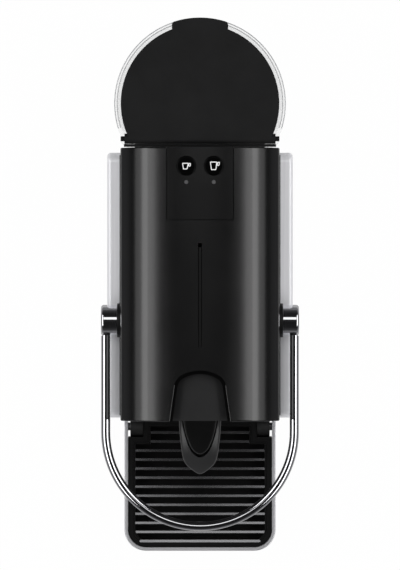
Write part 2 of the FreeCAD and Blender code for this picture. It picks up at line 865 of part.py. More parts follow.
def spout():
    bottom = brew_z - spout_drop
    top = brew_z + spout_rise
    outlines = [spout_wire(spout_taper, fascia_front, bottom), spout_wire(0, fascia_front, top)]
    shell = Part.makeLoft(outlines, True, True)
    dome_centre = Vector(0, fascia_front - spout_dome_reach, top - spout_dome)
    shell = shell.common(Part.makeSphere(spout_dome, dome_centre))

    def on_dome(b):
        return b.ZMin > bottom + spout_hollow and b.YMin < fascia_front - pick and b.ZLength < spout_reach / 2

    shell = shell.makeFillet(spout_edge_round, picked_edges(shell, on_dome))
    shell = shell.cut(nose_block(nose_gap, nose_tip_gap, brew_z - nose_drop, top + past))
    hollow_top = bottom + spout_hollow
    hollow = Part.Face(spout_wire(spout_taper + spout_wall, fascia_front - spout_wall, bottom - past))
    shell = shell.cut(hollow.extrude(Vector(0, 0, spout_hollow + past)))
    nozzle_y = fascia_front - nozzle_out
    for side in (-1, 1):
        x = side * nozzle_spread
        shell = joined(shell, upright(nozzle_radius, x, nozzle_y, hollow_top - nozzle_reach, hollow_top))
    for side in (-1, 1):
        x = side * nozzle_spread
        shell = shell.cut(upright(nozzle_bore, x, nozzle_y, bottom - past, brew_z - nose_drop))
    return shell


def brew_frame():
    left_plate = box(-plate_outer, -plate_inner, fascia_rear, frame_rear, frame_bottom, frame_top)
    flange = box(-bay_half, -plate_outer, fascia_rear, frame_rear, frame_bottom, frame_floor_top)
    tower = box(-tower_outer, -tower_inner, lever_y - tower_radius, lever_y + tower_radius,
                frame_floor_top, lever_z)
    tower_top = cross_rod(tower_radius, -tower_outer, -tower_inner, lever_y, lever_z)
    half = joined(left_plate, flange, tower, tower_top)
    guide = guide_height / 2 + guide_play
    inner = plate_inner + guide_depth - carriage_gap + guide_play
    half = half.cut(box(-inner, 0, fascia_rear - past, frame_rear + past, brew_z - guide, brew_z + guide))
    bore = axle_radius + running_clearance
    half = half.cut(cross_rod(bore, -tower_outer - past, past - tower_inner, lever_y, lever_z))
    rear_floor = box(-plate_inner, plate_inner, lever_y + tower_radius, frame_rear,
                     frame_bottom, frame_floor_top)
    return joined(half, mirrored(half), rear_floor)


def seal_block():
    front = frame_rear - seal_block_length
    half = seal_block_width / 2
    block = box(-half, half, front, frame_rear, frame_floor_top, brew_z + seal_block_top)
    block = block.cut(lengthwise(tube_radius + running_clearance, 0, front - past, frame_rear + past, brew_z))
    port = lengthwise(spigot_radius, 0, frame_rear, frame_rear + port_length, feed_z)
    return joined(block, port)


def pivot_washers():
    ring = cross_rod(washer_radius, core_half, core_half + washer_length, lever_y, lever_z)
    hole = cross_rod(axle_radius + axle_play, core_half - past, hub_outer, lever_y, lever_z)
    return both_sides(ring.cut(hole))


def lever_handle():
    arc_y = lever_y - handle_leg
    left = Vector(-leg_x, lever_y, lever_z)
    right = Vector(leg_x, lever_y, lever_z)
    bend_left = Vector(-leg_x, arc_y, lever_z)
    bend_right = Vector(leg_x, arc_y, lever_z)
    path = Part.Wire([
        Part.LineSegment(left, bend_left).toShape(),
        Part.Arc(bend_left, Vector(0, arc_y - leg_x, lever_z), bend_right).toShape(),
        Part.LineSegment(bend_right, right).toShape(),
    ])
    ring = Part.Wire(Part.makeCircle(rod_radius, left, Vector(0, -1, 0)))
    handle = path.makePipeShell([ring], True, False)
    return handle.cut(cross_rod(hub_radius, -hub_outer - past, hub_outer + past, lever_y, lever_z))


def left_lever_hub():
    hub = cross_rod(hub_radius, -hub_outer, -hub_inner, lever_y, lever_z)
    hub = hub.makeFillet(hub_edge_round, picked_edges(hub, lambda b: b.XMax < pick - hub_outer))
    return hub


def left_crank():
    axle = cross_rod(axle_radius, -hub_inner, -arm_inner, lever_y, lever_z)
    root = cross_rod(axle_radius + crank_root_wall, -arm_outer, -arm_inner, lever_y, lever_z)
    eye = cross_rod(crank_eye, -arm_outer, -arm_inner, crank_pin_y, crank_pin_z)
    bar = box(-arm_outer, -arm_inner, -crank_radius, 0, -crank_eye, crank_eye)
    bar.rotate(Vector(0, 0, 0), Vector(1, 0, 0), -crank_start_angle)
    bar.translate(Vector(0, lever_y, lever_z))
    return joined(axle, root, eye, bar)


def crank_pins():
    inner = wing_inner - crank_pin_tail + plate_gap / 2
    return both_sides(cross_rod(crank_pin_radius, inner, arm_inner, crank_pin_y, crank_pin_z))


def brew_carriage():
    slot_reach = crank_pin_radius + slot_play
    slot_top = lever_z + crank_radius + slot_reach
    slot_bottom = crank_pin_z - slot_reach
    bar_top = slot_top + wing_rim
    bar_bottom = frame_top + carriage_gap
    plate = box(-carriage_half, carriage_half, cage_rear, carriage_rear, brew_z - frame_rise, bar_top)
    bar = box(-wing_outer, wing_outer, cage_rear, carriage_rear, bar_bottom, bar_top)
    guide = plate_inner + guide_depth - carriage_gap
    shoes = box(-guide, guide, cage_rear, carriage_rear, brew_z - guide_height / 2, brew_z + guide_height / 2)
    wing_rear = crank_pin_y + slot_reach + wing_rim
    wing = box(wing_inner, wing_outer, cage_rear, wing_rear, bar_bottom, bar_top)
    slot = box(wing_inner - past, wing_outer + past, crank_pin_y - slot_reach, crank_pin_y + slot_reach,
               slot_bottom, slot_top)
    wing = wing.cut(slot)
    carriage = joined(plate, bar, shoes, wing, mirrored(wing))
    carriage = carriage.cut(both_sides(slot))
    return carriage.cut(lengthwise(tube_radius, 0, cage_rear - past, carriage_rear + past, brew_z))


def capsule_cage():
    cage = lengthwise(cage_radius, 0, cage_front, cage_rear, brew_z)
    cage = cage.cut(lengthwise(cage_bore, 0, cage_front - past, cage_rear - cage_rear_wall, brew_z))
    return cage.cut(lengthwise(tube_radius, 0, cage_front, cage_rear + past, brew_z))


def piercing_blades():
    seat = cage_rear - cage_rear_wall
    blades = []
    for index in range(blade_count):
        spine = [(-blade_width / 2, seat, 0), (blade_width / 2, seat, 0), (0, seat - blade_length, 0)]
        blade = plan_slab(spine, -blade_thickness / 2, blade_thickness / 2)
        blade.translate(Vector(0, 0, blade_circle))
        blade.rotate(Vector(0, 0, 0), Vector(0, 1, 0), 360 / blade_count * index)
        blade.translate(Vector(0, 0, brew_z))
        blades.append(blade)
    return Part.makeCompound(blades)


def injection_tube():
    front = cage_rear - cage_rear_wall
    tube = lengthwise(tube_radius, 0, front, front + tube_length, brew_z)
    return tube.cut(lengthwise(tube_bore, 0, front - past, front + tube_length + past, brew_z))


def capsule_shutter():
    half = chute_front_half + shutter_overlap
    front = body_front + shutter_setback
    rear = cage_rear - module_play
    plate = lengthwise(shutter_radius, 0, front, rear, shutter_axis)
    plate = plate.cut(lengthwise(shutter_inner_radius, 0, front - past, rear + past, shutter_axis))
    plate = plate.common(box(-half, half, front, rear, shutter_axis, crown_height))
    neck_front = rear - shutter_neck_half / 2
    neck_bottom = lever_z + crank_radius + crank_pin_radius + slot_play + wing_rim
    neck = box(-shutter_neck_half, shutter_neck_half, neck_front, carriage_rear, neck_bottom, shutter_top)
    neck = neck.common(lengthwise(shutter_radius, 0, neck_front, carriage_rear, shutter_axis))
    return joined(plate, neck)


def tank_plinth():
    front = body_rear + seam
    plinth = plinth_block(0, front, base_top, plinth_top)
    plinth = plinth.cut(plinth_block(plinth_wall, front - past, base_top, plinth_top - plinth_wall))
    socket_hole = socket_radius + running_clearance
    plinth = plinth.cut(upright(socket_hole, 0, valve_y, socket_bottom, plinth_top + past))
    back = tank_y + plinth_radius
    gland_hole = gland_radius + running_clearance
    return plinth.cut(lengthwise(gland_hole, 0, back - gland_depth, back + past, gland_height))


def cord_gland():
    back = tank_y + plinth_radius
    flange = lengthwise(gland_flange_radius, 0, back - gland_depth, back + gland_proud, gland_height)
    flange = flange.cut(upright(plinth_radius, 0, tank_y, 0, plinth_top))
    sleeve = lengthwise(gland_radius, 0, back - gland_depth, back + gland_proud, gland_height)
    gland = joined(sleeve, flange)
    inner = back - gland_depth - past
    return gland.cut(lengthwise(gland_bore, 0, inner, back + gland_proud + past, gland_height))


def tank_socket():
    flange_top = plinth_top - plinth_wall
    body = upright(socket_radius, 0, valve_y, socket_bottom, plinth_top)
    flange = upright(socket_radius + socket_flange, 0, valve_y,
                     flange_top - socket_flange_thickness, flange_top)
    spigot = upright(spigot_radius, 0, valve_y, socket_bottom - port_length, socket_bottom)
    socket = joined(body, flange, spigot)
    return socket.cut(upright(socket_bore, 0, valve_y, socket_floor, plinth_top + past))


def socket_seal():
    ring = upright(socket_bore, 0, valve_y, socket_floor, socket_floor + seal_height)
    return ring.cut(upright(seal_bore, 0, valve_y, socket_floor - past, socket_floor + seal_height + past))


def water_tank():
    tank = tank_block(0, tank_bottom, tank_rim)
    tank = tank.cut(tank_block(tank_wall, tank_bottom + tank_floor, tank_rim + past))
    ledge_top = lid_bottom - lid_gap
    ledge_radius = tank_radius - tank_wall
    ledge = upright(ledge_radius, 0, tank_y, ledge_top - ledge_thickness, ledge_top)
    ledge = ledge.cut(upright(ledge_radius - ledge_reach, 0, tank_y, tank_bottom, tank_rim))
    clear_y = lid_hinge_y + lid_barrel_radius + ledge_thickness
    ledge = ledge.common(box(-tank_radius, tank_radius, clear_y, tank_y + tank_radius, tank_bottom, tank_rim))
    tank = joined(tank, ledge)
    # The front wall stops under the hinge barrel, and each side wall has an open slot for a pin
    barrel_room = lid_barrel_radius + lid_gap
    open_half = tank_half_width - tank_wall
    tank = tank.cut(box(-open_half, open_half, tank_front - past, lid_hinge_y,
                        lid_hinge_z - barrel_room, tank_rim + past))
    slot = lid_pin_radius + running_clearance
    tank = tank.cut(cross_rod(slot, -tank_radius, tank_radius, lid_hinge_y, lid_hinge_z))
    tank = tank.cut(box(-tank_radius, tank_radius, lid_hinge_y - slot, lid_hinge_y + slot,
                        lid_hinge_z, tank_rim + past))
    floor_top = tank_bottom + tank_floor
    return tank.cut(upright(valve_stem_radius, 0, valve_y, tank_bottom - past, floor_top + past))


def tank_valve():
    floor_top = tank_bottom + tank_floor
    stem = upright(valve_stem_radius, 0, valve_y, tank_bottom, floor_top)
    flange = upright(valve_flange_radius, 0, valve_y, floor_top, floor_top + valve_flange_thickness)
    plug = upright(valve_plug_radius, 0, valve_y, tank_bottom - valve_plug_length, tank_bottom)
    return joined(stem, flange, plug)


def tank_lid():
    disc = upright(lid_radius, 0, tank_y, lid_bottom, lid_top)
    disc = disc.cut(box(-lid_radius, lid_radius, tank_y - lid_radius, lid_hinge_y, lid_bottom, lid_top))
    tab_front = tank_y + lid_radius - 2 * lid_tab_corner
    tab = box(-lid_tab_half, lid_tab_half, tab_front, tank_y + tank_radius, tank_rim + lid_gap, lid_top)
    tab = tab.common(upright(tank_radius, 0, tank_y, tank_rim, lid_top))
    corners = picked_edges(tab, lambda b: b.ZLength > 0.5 and b.YMin > tab_front + pick)
    tab = tab.makeFillet(lid_tab_corner, corners)
    barrel_half = tank_half_width - tank_wall - lid_gap
    barrel = cross_rod(lid_barrel_radius, -barrel_half, barrel_half, lid_hinge_y, lid_hinge_z)
    lid = joined(disc, tab)
    top_edges = picked_edges(lid, lambda b: b.ZMin > lid_top - pick and b.YMax > lid_hinge_y + pick)
    lid = lid.makeFillet(lid_edge_round, top_edges)
    pins = cross_rod(lid_pin_radius, -tank_half_width, tank_half_width, lid_hinge_y, lid_hinge_z)
    return joined(lid, barrel, pins)


def drip_base_plan(rear, inset):
    half = drip_base_half - inset
    front = drip_base_front + inset
    corner = drip_base_corner - inset
    return [(half, rear - inset, 0), (-half, rear - inset, 0), (-half, front, corner), (half, front, corner)]


def drip_base():
    rear = bay_rear - module_play
    base = plan_slab(drip_base_plan(rear, 0), drip_base_bottom, drip_base_top)
    base = base.cut(plan_slab(drip_base_plan(rear, drip_base_wall), bin_bottom, drip_base_top + past))
    # In front of the body the base reaches down close to the table
    skirt_rear = fascia_rear - drip_base_side_gap
    skirt = plan_slab(drip_base_plan(skirt_rear, 0), drip_skirt_bottom, drip_base_bottom)
    under = plan_slab(drip_base_plan(skirt_rear, drip_base_wall), drip_skirt_bottom - past, drip_base_bottom)
    base = joined(base, skirt.cut(under))
    for side in (-1, 1):
        x0, x1 = sorted((side * knuckle_inner, side * knuckle_outer))
        foot = box(x0, x1, cup_hinge_y - knuckle_radius, cup_hinge_y + knuckle_radius,
                   drip_base_bottom, cup_hinge_z)
        base = joined(base, foot, cross_rod(knuckle_radius, x0, x1, cup_hinge_y, cup_hinge_z))
        hole_end = side * (knuckle_outer - cup_pin_grip)
        hole = cup_pin_radius + running_clearance
        base = base.cut(cross_rod(hole, hole_end, side * cup_half, cup_hinge_y, cup_hinge_z))
    return base


def drip_ribs():
    pitch = (cup_hinge_y - knuckle_radius - drip_base_front) / (drip_rib_count + 1)
    inside = plan_slab(drip_base_plan(bay_rear, drip_base_wall), bin_bottom, drip_base_top)
    ribs = []
    for index in range(drip_rib_count):
        y = drip_base_front + pitch * (index + 1) - drip_rib_width / 2
        rib = box(-core_half, core_half, y, y + drip_rib_width, bin_bottom, drip_base_top)
        ribs.append(rib.common(inside))
    return Part.makeCompound(ribs)


def capsule_bin():
    bin_box = box(-bin_half, bin_half, bin_front, bin_rear, bin_bottom, bin_top)
    front_plate = box(-drip_base_half, drip_base_half, bin_front, bin_front + bin_wall,
                      drip_base_top + module_play, bin_top)
    inside = box(bin_wall - bin_half, bin_half - bin_wall, bin_front + bin_wall, bin_rear - bin_wall,
                 bin_bottom + bin_wall, bin_top + past)
    grip = box(-bin_grip_half, bin_grip_half, bin_front - past, bin_front + bin_grip_depth,
               bin_top - bin_grip_drop - bin_grip_height, bin_top - bin_grip_drop)
    return joined(bin_box.cut(inside), front_plate).cut(grip)


def hoop_corners(inset):
    half = cup_half - inset
    front = cup_front + inset
    rear = cup_hinge_y
    radius = hoop_corner - inset
    return [(half, rear, 0), (-half, rear, 0), (-half, front, radius), (half, front, radius)]


def cup_frame():
    hoop = plan_slab(hoop_corners(0), hoop_bottom, cup_top)
    crown = picked_edges(hoop, lambda b: b.ZMin > cup_top - pick and b.YMin < cup_hinge_y - pick)
    hoop = hoop.makeFillet(hoop_edge_round, crown)
    inside = hoop_corners(hoop_wall)
    inside = [(inside[0][0], cup_hinge_y + past, 0), (inside[1][0], cup_hinge_y + past, 0)] + inside[2:]
    hoop = hoop.cut(plan_slab(inside, hoop_bottom - past, cup_top + past))
    eye_radius = hoop_height / 2 - seam
    for side in (-1, 1):
        x0, x1 = sorted((side * (cup_half - hoop_wall), side * cup_half))
        hoop = joined(hoop, cross_rod(eye_radius, x0, x1, cup_hinge_y, cup_hinge_z))
        hoop = hoop.cut(cross_rod(cup_pin_radius, x0 - past, x1 + past, cup_hinge_y, cup_hinge_z))
    return hoop


def cup_hinge_pins():
    return both_sides(cross_rod(cup_pin_radius, knuckle_outer - cup_pin_grip + seam, cup_half,
                                cup_hinge_y, cup_hinge_z))


def tray_corners(inset):
    # Plan of the drip tray: wide in front, narrow between the hinge posts at the rear
    notch = knuckle_inner - tray_gap - inset
    waist = cup_hinge_y - knuckle_radius - module_play - inset
    half = tray_half - inset
    rear = cup_hinge_y + tray_rear_tail - inset
    front = tray_front + inset
    corner = hoop_corner - hoop_wall - tray_gap - inset
    return [(notch, rear, 0), (-notch, rear, 0), (-notch, waist, 0), (-half, waist, 0),
            (-half, front, corner), (half, front, corner), (half, waist, 0), (notch, waist, 0)]


def drip_tray():
    bottom = tray_top - tray_depth
    seat = tray_top - grid_height
    tray = plan_slab(tray_corners(0), bottom, tray_top)
    tray = tray.cut(plan_slab(tray_corners(tray_rim), seat, tray_top + past))
    return tray.cut(plan_slab(tray_corners(tray_rim + grid_seat), bottom + tray_floor, seat + past))


def drip_grid():
    bottom = tray_top - grid_height
    inset = tray_rim + grid_gap
    ring = plan_slab(tray_corners(inset), bottom, tray_top)
    return ring.cut(plan_slab(tray_corners(inset + grid_ring), bottom - past, tray_top + past))


def grid_slats():
    # Each slat's top falls a little towards the body
    bottom = tray_top - grid_height
    inset = tray_rim + grid_gap + grid_ring
    inside = plan_slab(tray_corners(inset), bottom, tray_top)
    rear_limit = cup_hinge_y + tray_rear_tail - inset
    front = cup_front + slat_front_inset - slat_width / 2
    slats = []
    while front + slat_width < rear_limit:
        rear = front + slat_width
        section = [(front, bottom, 0), (rear, bottom, 0),
                   (rear, tray_top - slat_fall, slat_round), (front, tray_top, slat_round)]
        slats.append(side_slab(section, -tray_half, tray_half).common(inside))
        front += slat_pitch
    return Part.makeCompound(slats)


def pump_body():
    front = bay_rear + inner_wall + pump_head - pump_radius / 2
    rear = rear_wall_front - pump_spigot
    body = lengthwise(pump_radius, pump_x, front, rear, pump_z)
    inlet = lengthwise(spigot_radius, pump_x, rear, rear + pump_spigot, pump_z)
    outlet = upright(spigot_radius, pump_x, riser_y, pump_z, pump_z + pump_radius + pump_spigot)
    return joined(body, inlet, outlet)


def pump_coil():
    half = pump_coil_half
    y0 = mid_room_y - pump_coil_length / 2
    coil = box(pump_x - half, pump_x + half, y0, y0 + pump_coil_length,
               pump_z - pump_coil_height / 2, pump_z + pump_coil_height / 2)
    bore = pump_radius + running_clearance
    return coil.cut(lengthwise(bore, pump_x, y0 - past, y0 + pump_coil_length + past, pump_z))


def pump_mounts():
    mounts = []
    for side in (-1, 1):
        y = mid_room_y + side * (pump_coil_length / 2 - pump_mount_width / 2)
        mounts.append(box(pump_x - pump_coil_half, pump_x + pump_coil_half, y - pump_mount_width / 2,
                          y + pump_mount_width / 2, base_top, base_top + pump_mount_height))
    return Part.makeCompound(mounts)


def thermoblock():
    half_length = (heater_rear - heater_front) / 2
    quarters = ((1, 1), (-1, 1), (-1, -1), (1, -1))
    corners = [(x * heater_half_width, heater_y + y * half_length, heater_corner) for x, y in quarters]
    block = plan_slab(corners, heater_bottom, heater_bottom + heater_height)
    post_x = heater_half_width - heater_corner
    post_y = half_length - heater_corner
    posts = [upright(heater_post_radius, x * post_x, heater_y + y * post_y, shelf_top, heater_bottom)
             for x, y in quarters]
    inlet = lengthwise(spigot_radius, pump_x, heater_front - port_length, heater_front, heater_inlet_z)
    heater_top = heater_bottom + heater_height
    outlet = upright(spigot_radius, 0, heater_y, heater_top, heater_top + port_length)
    return joined(block, inlet, outlet, *posts)


def flow_meter():
    top = base_top + flow_meter_height
    body = upright(flow_meter_radius, flow_meter_x, flow_meter_y, base_top, top)
    inlet = upright(spigot_radius, flow_meter_x, flow_meter_y, top, top + port_length)
    port_y = flow_meter_y - flow_meter_radius
    outlet_z = base_top + flow_meter_height / 2
    outlet = lengthwise(spigot_radius, flow_meter_x, port_y - port_length, port_y + past, outlet_z)
    return joined(body, inlet, outlet)


def hoses():
    top = base_top + flow_meter_height + port_length
    level = (socket_bottom - port_length + top) / 2
    inlet = hose([
        Vector(0, valve_y, socket_bottom - port_length),
        Vector(0, valve_y, level),
        Vector(flow_meter_x, flow_meter_y, level),
        Vector(flow_meter_x, flow_meter_y, top),
    ], hose_radius, hose_bend)
    start_y = flow_meter_y - flow_meter_radius - port_length
    low = base_top + flow_meter_height / 2
    cross_y = (start_y + body_rear) / 2
    suction = hose([
        Vector(flow_meter_x, start_y, low),
        Vector(flow_meter_x, cross_y, low),
        Vector(pump_x, cross_y, pump_z),
        Vector(pump_x, rear_wall_front, pump_z),
    ], hose_radius, hose_bend)
    pressure = hose([
        Vector(pump_x, riser_y, pump_z + pump_radius + pump_spigot),
        Vector(pump_x, riser_y, heater_inlet_z),
        Vector(pump_x, heater_front - port_length, heater_inlet_z),
    ], hose_radius, hose_bend)
    brew = hose([
        Vector(0, heater_y, heater_bottom + heater_height + port_length),
        Vector(0, heater_y, feed_z),
        Vector(0, frame_rear + port_length, feed_z),
    ], hose_radius, hose_bend)
    return {"inlet_hose": inlet, "suction_hose": suction, "pressure_hose": pressure, "brew_hose": brew}


def main_board():
    y0 = mid_room_y - main_board_length / 2
    return box(board_face - board_thickness, board_face, y0, y0 + main_board_length,
               main_board_bottom, main_board_bottom + main_board_height)


def board_standoffs():
    posts = []
    for y in (-1, 1):
        for z in (standoff_inset, main_board_height - standoff_inset):
            place = mid_room_y + y * (main_board_length / 2 - standoff_inset)
            posts.append(cross_rod(standoff_radius, board_face, bay_half, place, main_board_bottom + z))
    return Part.makeCompound(posts)


nodes = {
    "base_pan": base_pan(),
    "feet": feet(),
    "left_chassis_wall": left_chassis_wall(),
    "right_chassis_wall": mirrored(left_chassis_wall()),
    "left_side_panel": left_side_panel(),
    "right_side_panel": mirrored(left_side_panel()),
    "casing_screws": casing_screws(),
    "rear_wall": rear_wall(),
    "bay_wall": bay_wall(),
    "service_shelf": service_shelf(),
    "top_cover": top_cover(),
    "control_plate": control_plate(),
    "small_cup_button": cup_button(-button_x),
    "large_cup_button": cup_button(button_x),
    "indicator_lights": indicator_lights(),
    "control_board": control_board(),
    "front_fascia": front_fascia(),
    "extraction_plate": extraction_plate(),
    "brew_nose": brew_nose(),
    "spout": spout(),
    "brew_frame": brew_frame(),
    "seal_block": seal_block(),
    "pivot_washers": pivot_washers(),
    "lever_handle": lever_handle(),
    "left_lever_hub": left_lever_hub(),
    "right_lever_hub": mirrored(left_lever_hub()),
    "left_crank": left_crank(),
    "right_crank": mirrored(left_crank()),
    "crank_pins": crank_pins(),
    "brew_carriage": brew_carriage(),
    "capsule_cage": capsule_cage(),
    "piercing_blades": piercing_blades(),
    "injection_tube": injection_tube(),
    "capsule_shutter": capsule_shutter(),
    "tank_plinth": tank_plinth(),
    "cord_gland": cord_gland(),
    "tank_socket": tank_socket(),
    "socket_seal": socket_seal(),
    "water_tank": water_tank(),
    "tank_valve": tank_valve(),
    "tank_lid": tank_lid(),
    "drip_base": drip_base(),
    "drip_ribs": drip_ribs(),
    "capsule_bin": capsule_bin(),
    "cup_frame": cup_frame(),
    "cup_hinge_pins": cup_hinge_pins(),
    "drip_tray": drip_tray(),
    "drip_grid": drip_grid(),
    "grid_slats": grid_slats(),
    "pump_body": pump_body(),
    "pump_coil": pump_coil(),
    "pump_mounts": pump_mounts(),
    "thermoblock": thermoblock(),
    "flow_meter": flow_meter(),
    "main_board": main_board(),
    "board_standoffs": board_standoffs(),
    **hoses(),
}

os.makedirs("parts", exist_ok=True)
for name, shape in nodes.items():
    shape.exportStep(f"parts/{name}.step")
travel = 2 * crank_radius * math.sin(crank_angle)
print(f"{len(nodes)} nodes, crank radius {crank_radius:.3f} mm, carriage travel {travel:.3f} mm")
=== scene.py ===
import json
import math

import bmesh
import bpy
from mathutils import Matrix, Vector


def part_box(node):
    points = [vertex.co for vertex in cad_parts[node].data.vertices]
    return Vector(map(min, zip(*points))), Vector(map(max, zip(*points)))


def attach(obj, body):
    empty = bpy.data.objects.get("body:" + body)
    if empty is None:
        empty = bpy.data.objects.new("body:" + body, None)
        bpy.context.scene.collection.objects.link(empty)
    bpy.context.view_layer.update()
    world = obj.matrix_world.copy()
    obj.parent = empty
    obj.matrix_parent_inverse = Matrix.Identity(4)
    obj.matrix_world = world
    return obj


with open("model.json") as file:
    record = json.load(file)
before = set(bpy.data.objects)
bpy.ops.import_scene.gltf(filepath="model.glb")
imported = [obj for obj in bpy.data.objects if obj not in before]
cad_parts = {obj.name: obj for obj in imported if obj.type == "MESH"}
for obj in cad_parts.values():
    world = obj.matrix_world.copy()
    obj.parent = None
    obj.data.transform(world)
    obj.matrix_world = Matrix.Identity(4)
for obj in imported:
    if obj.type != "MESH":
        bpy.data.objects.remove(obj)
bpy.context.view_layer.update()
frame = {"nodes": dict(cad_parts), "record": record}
nodes = frame["nodes"]
millimetre = 0.001


# helpers for node trees

def mathNode(tree, operation, first, second):
    node = tree.nodes.new("ShaderNodeMath")
    node.operation = operation
    for socket, value in zip(node.inputs, (first, second)):
        if isinstance(value, (int, float)):
            socket.default_value = value
        else:
            tree.links.new(value, socket)
    return node.outputs[0]


def noiseNode(tree, vector, scale, detail, rough):
    node = tree.nodes.new("ShaderNodeTexNoise")
    node.inputs["Detail"].default_value = detail
    node.inputs["Roughness"].default_value = rough
    tree.links.new(vector, node.inputs["Vector"])
    if isinstance(scale, (int, float)):
        node.inputs["Scale"].default_value = scale
    else:
        tree.links.new(scale, node.inputs["Scale"])
    return node.outputs["Fac"]


def mapRange(tree, value, source, target):
    node = tree.nodes.new("ShaderNodeMapRange")
    for label, end in zip(("From Min", "From Max", "To Min", "To Max"), (*source, *target)):
        node.inputs[label].default_value = end
    tree.links.new(value, node.inputs["Value"])
    return node.outputs["Result"]


def mixShaders(tree, share, first, second):
    node = tree.nodes.new("ShaderNodeMixShader")
    for source, socket in zip((share, first, second), node.inputs):
        tree.links.new(source, socket)
    return node.outputs[0]


def newGroup(name, inputs, outputs):
    group = bpy.data.node_groups.new(name, "ShaderNodeTree")
    for label, value in inputs.items():
        kind = "NodeSocketVector" if label == "Vector" else "NodeSocketFloat"
        socket = group.interface.new_socket(label, in_out="INPUT", socket_type=kind)
        if kind == "NodeSocketFloat":
            socket.default_value = value
    for label in outputs:
        group.interface.new_socket(label, in_out="OUTPUT", socket_type="NodeSocketFloat")
    return group, group.nodes.new("NodeGroupInput"), group.nodes.new("NodeGroupOutput")


# shared surface effects, each built once

# pebbled skin of a spark-eroded mould: Height for bump, Shade for a slight tone change
grainShape = {"fine": (2.0, 0.55), "broad": (3.0, 0.5), "broadScale": 0.02, "cellScale": 0.6,
              "cellHeight": 0.5, "share": 0.5}


def buildMouldGrain():
    look = grainShape
    group, source, sink = newGroup("mouldGrain", {"Vector": None, "Scale": 3000.0}, ["Height", "Shade"])
    vector, scale = source.outputs["Vector"], source.outputs["Scale"]
    fine = noiseNode(group, vector, scale, *look["fine"])
    cells = group.nodes.new("ShaderNodeTexVoronoi")
    group.links.new(vector, cells.inputs["Vector"])
    group.links.new(mathNode(group, "MULTIPLY", scale, look["cellScale"]), cells.inputs["Scale"])
    pits = mathNode(group, "MULTIPLY", cells.outputs["Distance"], look["cellHeight"])
    group.links.new(mathNode(group, "ADD", fine, pits), sink.inputs["Height"])
    broad = noiseNode(group, vector, mathNode(group, "MULTIPLY", scale, look["broadScale"]), *look["broad"])
    halves = [mathNode(group, "MULTIPLY", noise, look["share"]) for noise in (fine, broad)]
    group.links.new(mathNode(group, "ADD", *halves), sink.inputs["Shade"])
    return group


# soft smudges left by wiping and handling: Roughness round a middle value
handlingShape = {"smears": (5.0, 0.6), "centre": 0.5}


def buildHandling():
    look = handlingShape
    inputs = {"Vector": None, "Scale": 40.0, "Middle": 0.3, "Spread": 0.08}
    group, source, sink = newGroup("handling", inputs, ["Roughness", "Mask"])
    smears = noiseNode(group, source.outputs["Vector"], source.outputs["Scale"], *look["smears"])
    offset = mathNode(group, "SUBTRACT", smears, look["centre"])
    swing = mathNode(group, "MULTIPLY", offset, source.outputs["Spread"])
    group.links.new(mathNode(group, "ADD", swing, source.outputs["Middle"]), sink.inputs["Roughness"])
    group.links.new(smears, sink.inputs["Mask"])
    return group


# fine lines of a belt finish, already stretched by the vector that comes in
brushingShape = {"lines": (4.0, 0.7), "bands": (2.0, 0.5), "bandScale": 0.12, "lineShare": 0.7,
                 "bandShare": 0.3}


def buildBrushing():
    look = brushingShape
    group, source, sink = newGroup("brushing", {"Vector": None, "Scale": 1.0}, ["Height", "Shade"])
    vector, scale = source.outputs["Vector"], source.outputs["Scale"]
    lines = noiseNode(group, vector, scale, *look["lines"])
    bands = noiseNode(group, vector, mathNode(group, "MULTIPLY", scale, look["bandScale"]), *look["bands"])
    lineTone = mathNode(group, "MULTIPLY", lines, look["lineShare"])
    bandTone = mathNode(group, "MULTIPLY", bands, look["bandShare"])
    group.links.new(lines, sink.inputs["Height"])
    group.links.new(mathNode(group, "ADD", lineTone, bandTone), sink.inputs["Shade"])
    return group


mouldGrain = buildMouldGrain()
handling = buildHandling()
brushing = buildBrushing()
print("surface effects built:", len(bpy.data.node_groups))


# helpers for the finishes

# where on its mask a tint is wholly dark and wholly light
tintEnds = (0.3, 0.7)
# cool cast of every neutral grey
blueCast = 1.03


def startFinish(name, sockets):
    material = bpy.data.materials.new(name)
    material.use_nodes = True
    tree = material.node_tree
    shader = tree.nodes["Principled BSDF"]
    for label, value in sockets.items():
        shader.inputs[label].default_value = value
    place = tree.nodes.new("ShaderNodeTexCoord").outputs["Object"]
    return material, tree, shader, place


def useGroup(tree, group, vector, values):
    node = tree.nodes.new("ShaderNodeGroup")
    node.node_tree = group
    tree.links.new(vector, node.inputs["Vector"])
    for label, value in values.items():
        node.inputs[label].default_value = value
    return node


def stretched(tree, vector, scale):
    mapping = tree.nodes.new("ShaderNodeMapping")
    mapping.inputs["Scale"].default_value = scale
    tree.links.new(vector, mapping.inputs["Vector"])
    return mapping.outputs["Vector"]


def tint(tree, mask, dark, light, target):
    ramp = tree.nodes.new("ShaderNodeValToRGB")
    for stop, position, colour in zip(ramp.color_ramp.elements, tintEnds, (dark, light)):
        stop.position = position
        stop.color = (*colour, 1)
    tree.links.new(mask, ramp.inputs["Fac"])
    tree.links.new(ramp.outputs["Color"], target)


def emboss(tree, height, depth, shader):
    bump = tree.nodes.new("ShaderNodeBump")
    bump.inputs["Strength"].default_value = 1.0
    bump.inputs["Distance"].default_value = depth
    tree.links.new(height, bump.inputs["Height"])
    tree.links.new(bump.outputs["Normal"], shader.inputs["Normal"])


def smudge(tree, place, scale, look, shader):
    values = {"Scale": scale, "Middle": look["gloss"], "Spread": look["swing"]}
    marks = useGroup(tree, handling, place, values)
    tree.links.new(marks.outputs["Roughness"], shader.inputs["Roughness"])
    return marks.outputs["Mask"]


def grey(value):
    return (value, value, value * blueCast)


# smudges per metre on each kind of surface
smearScales = {"moulded": 45, "metal": 30, "clear": 25, "hose": 60}

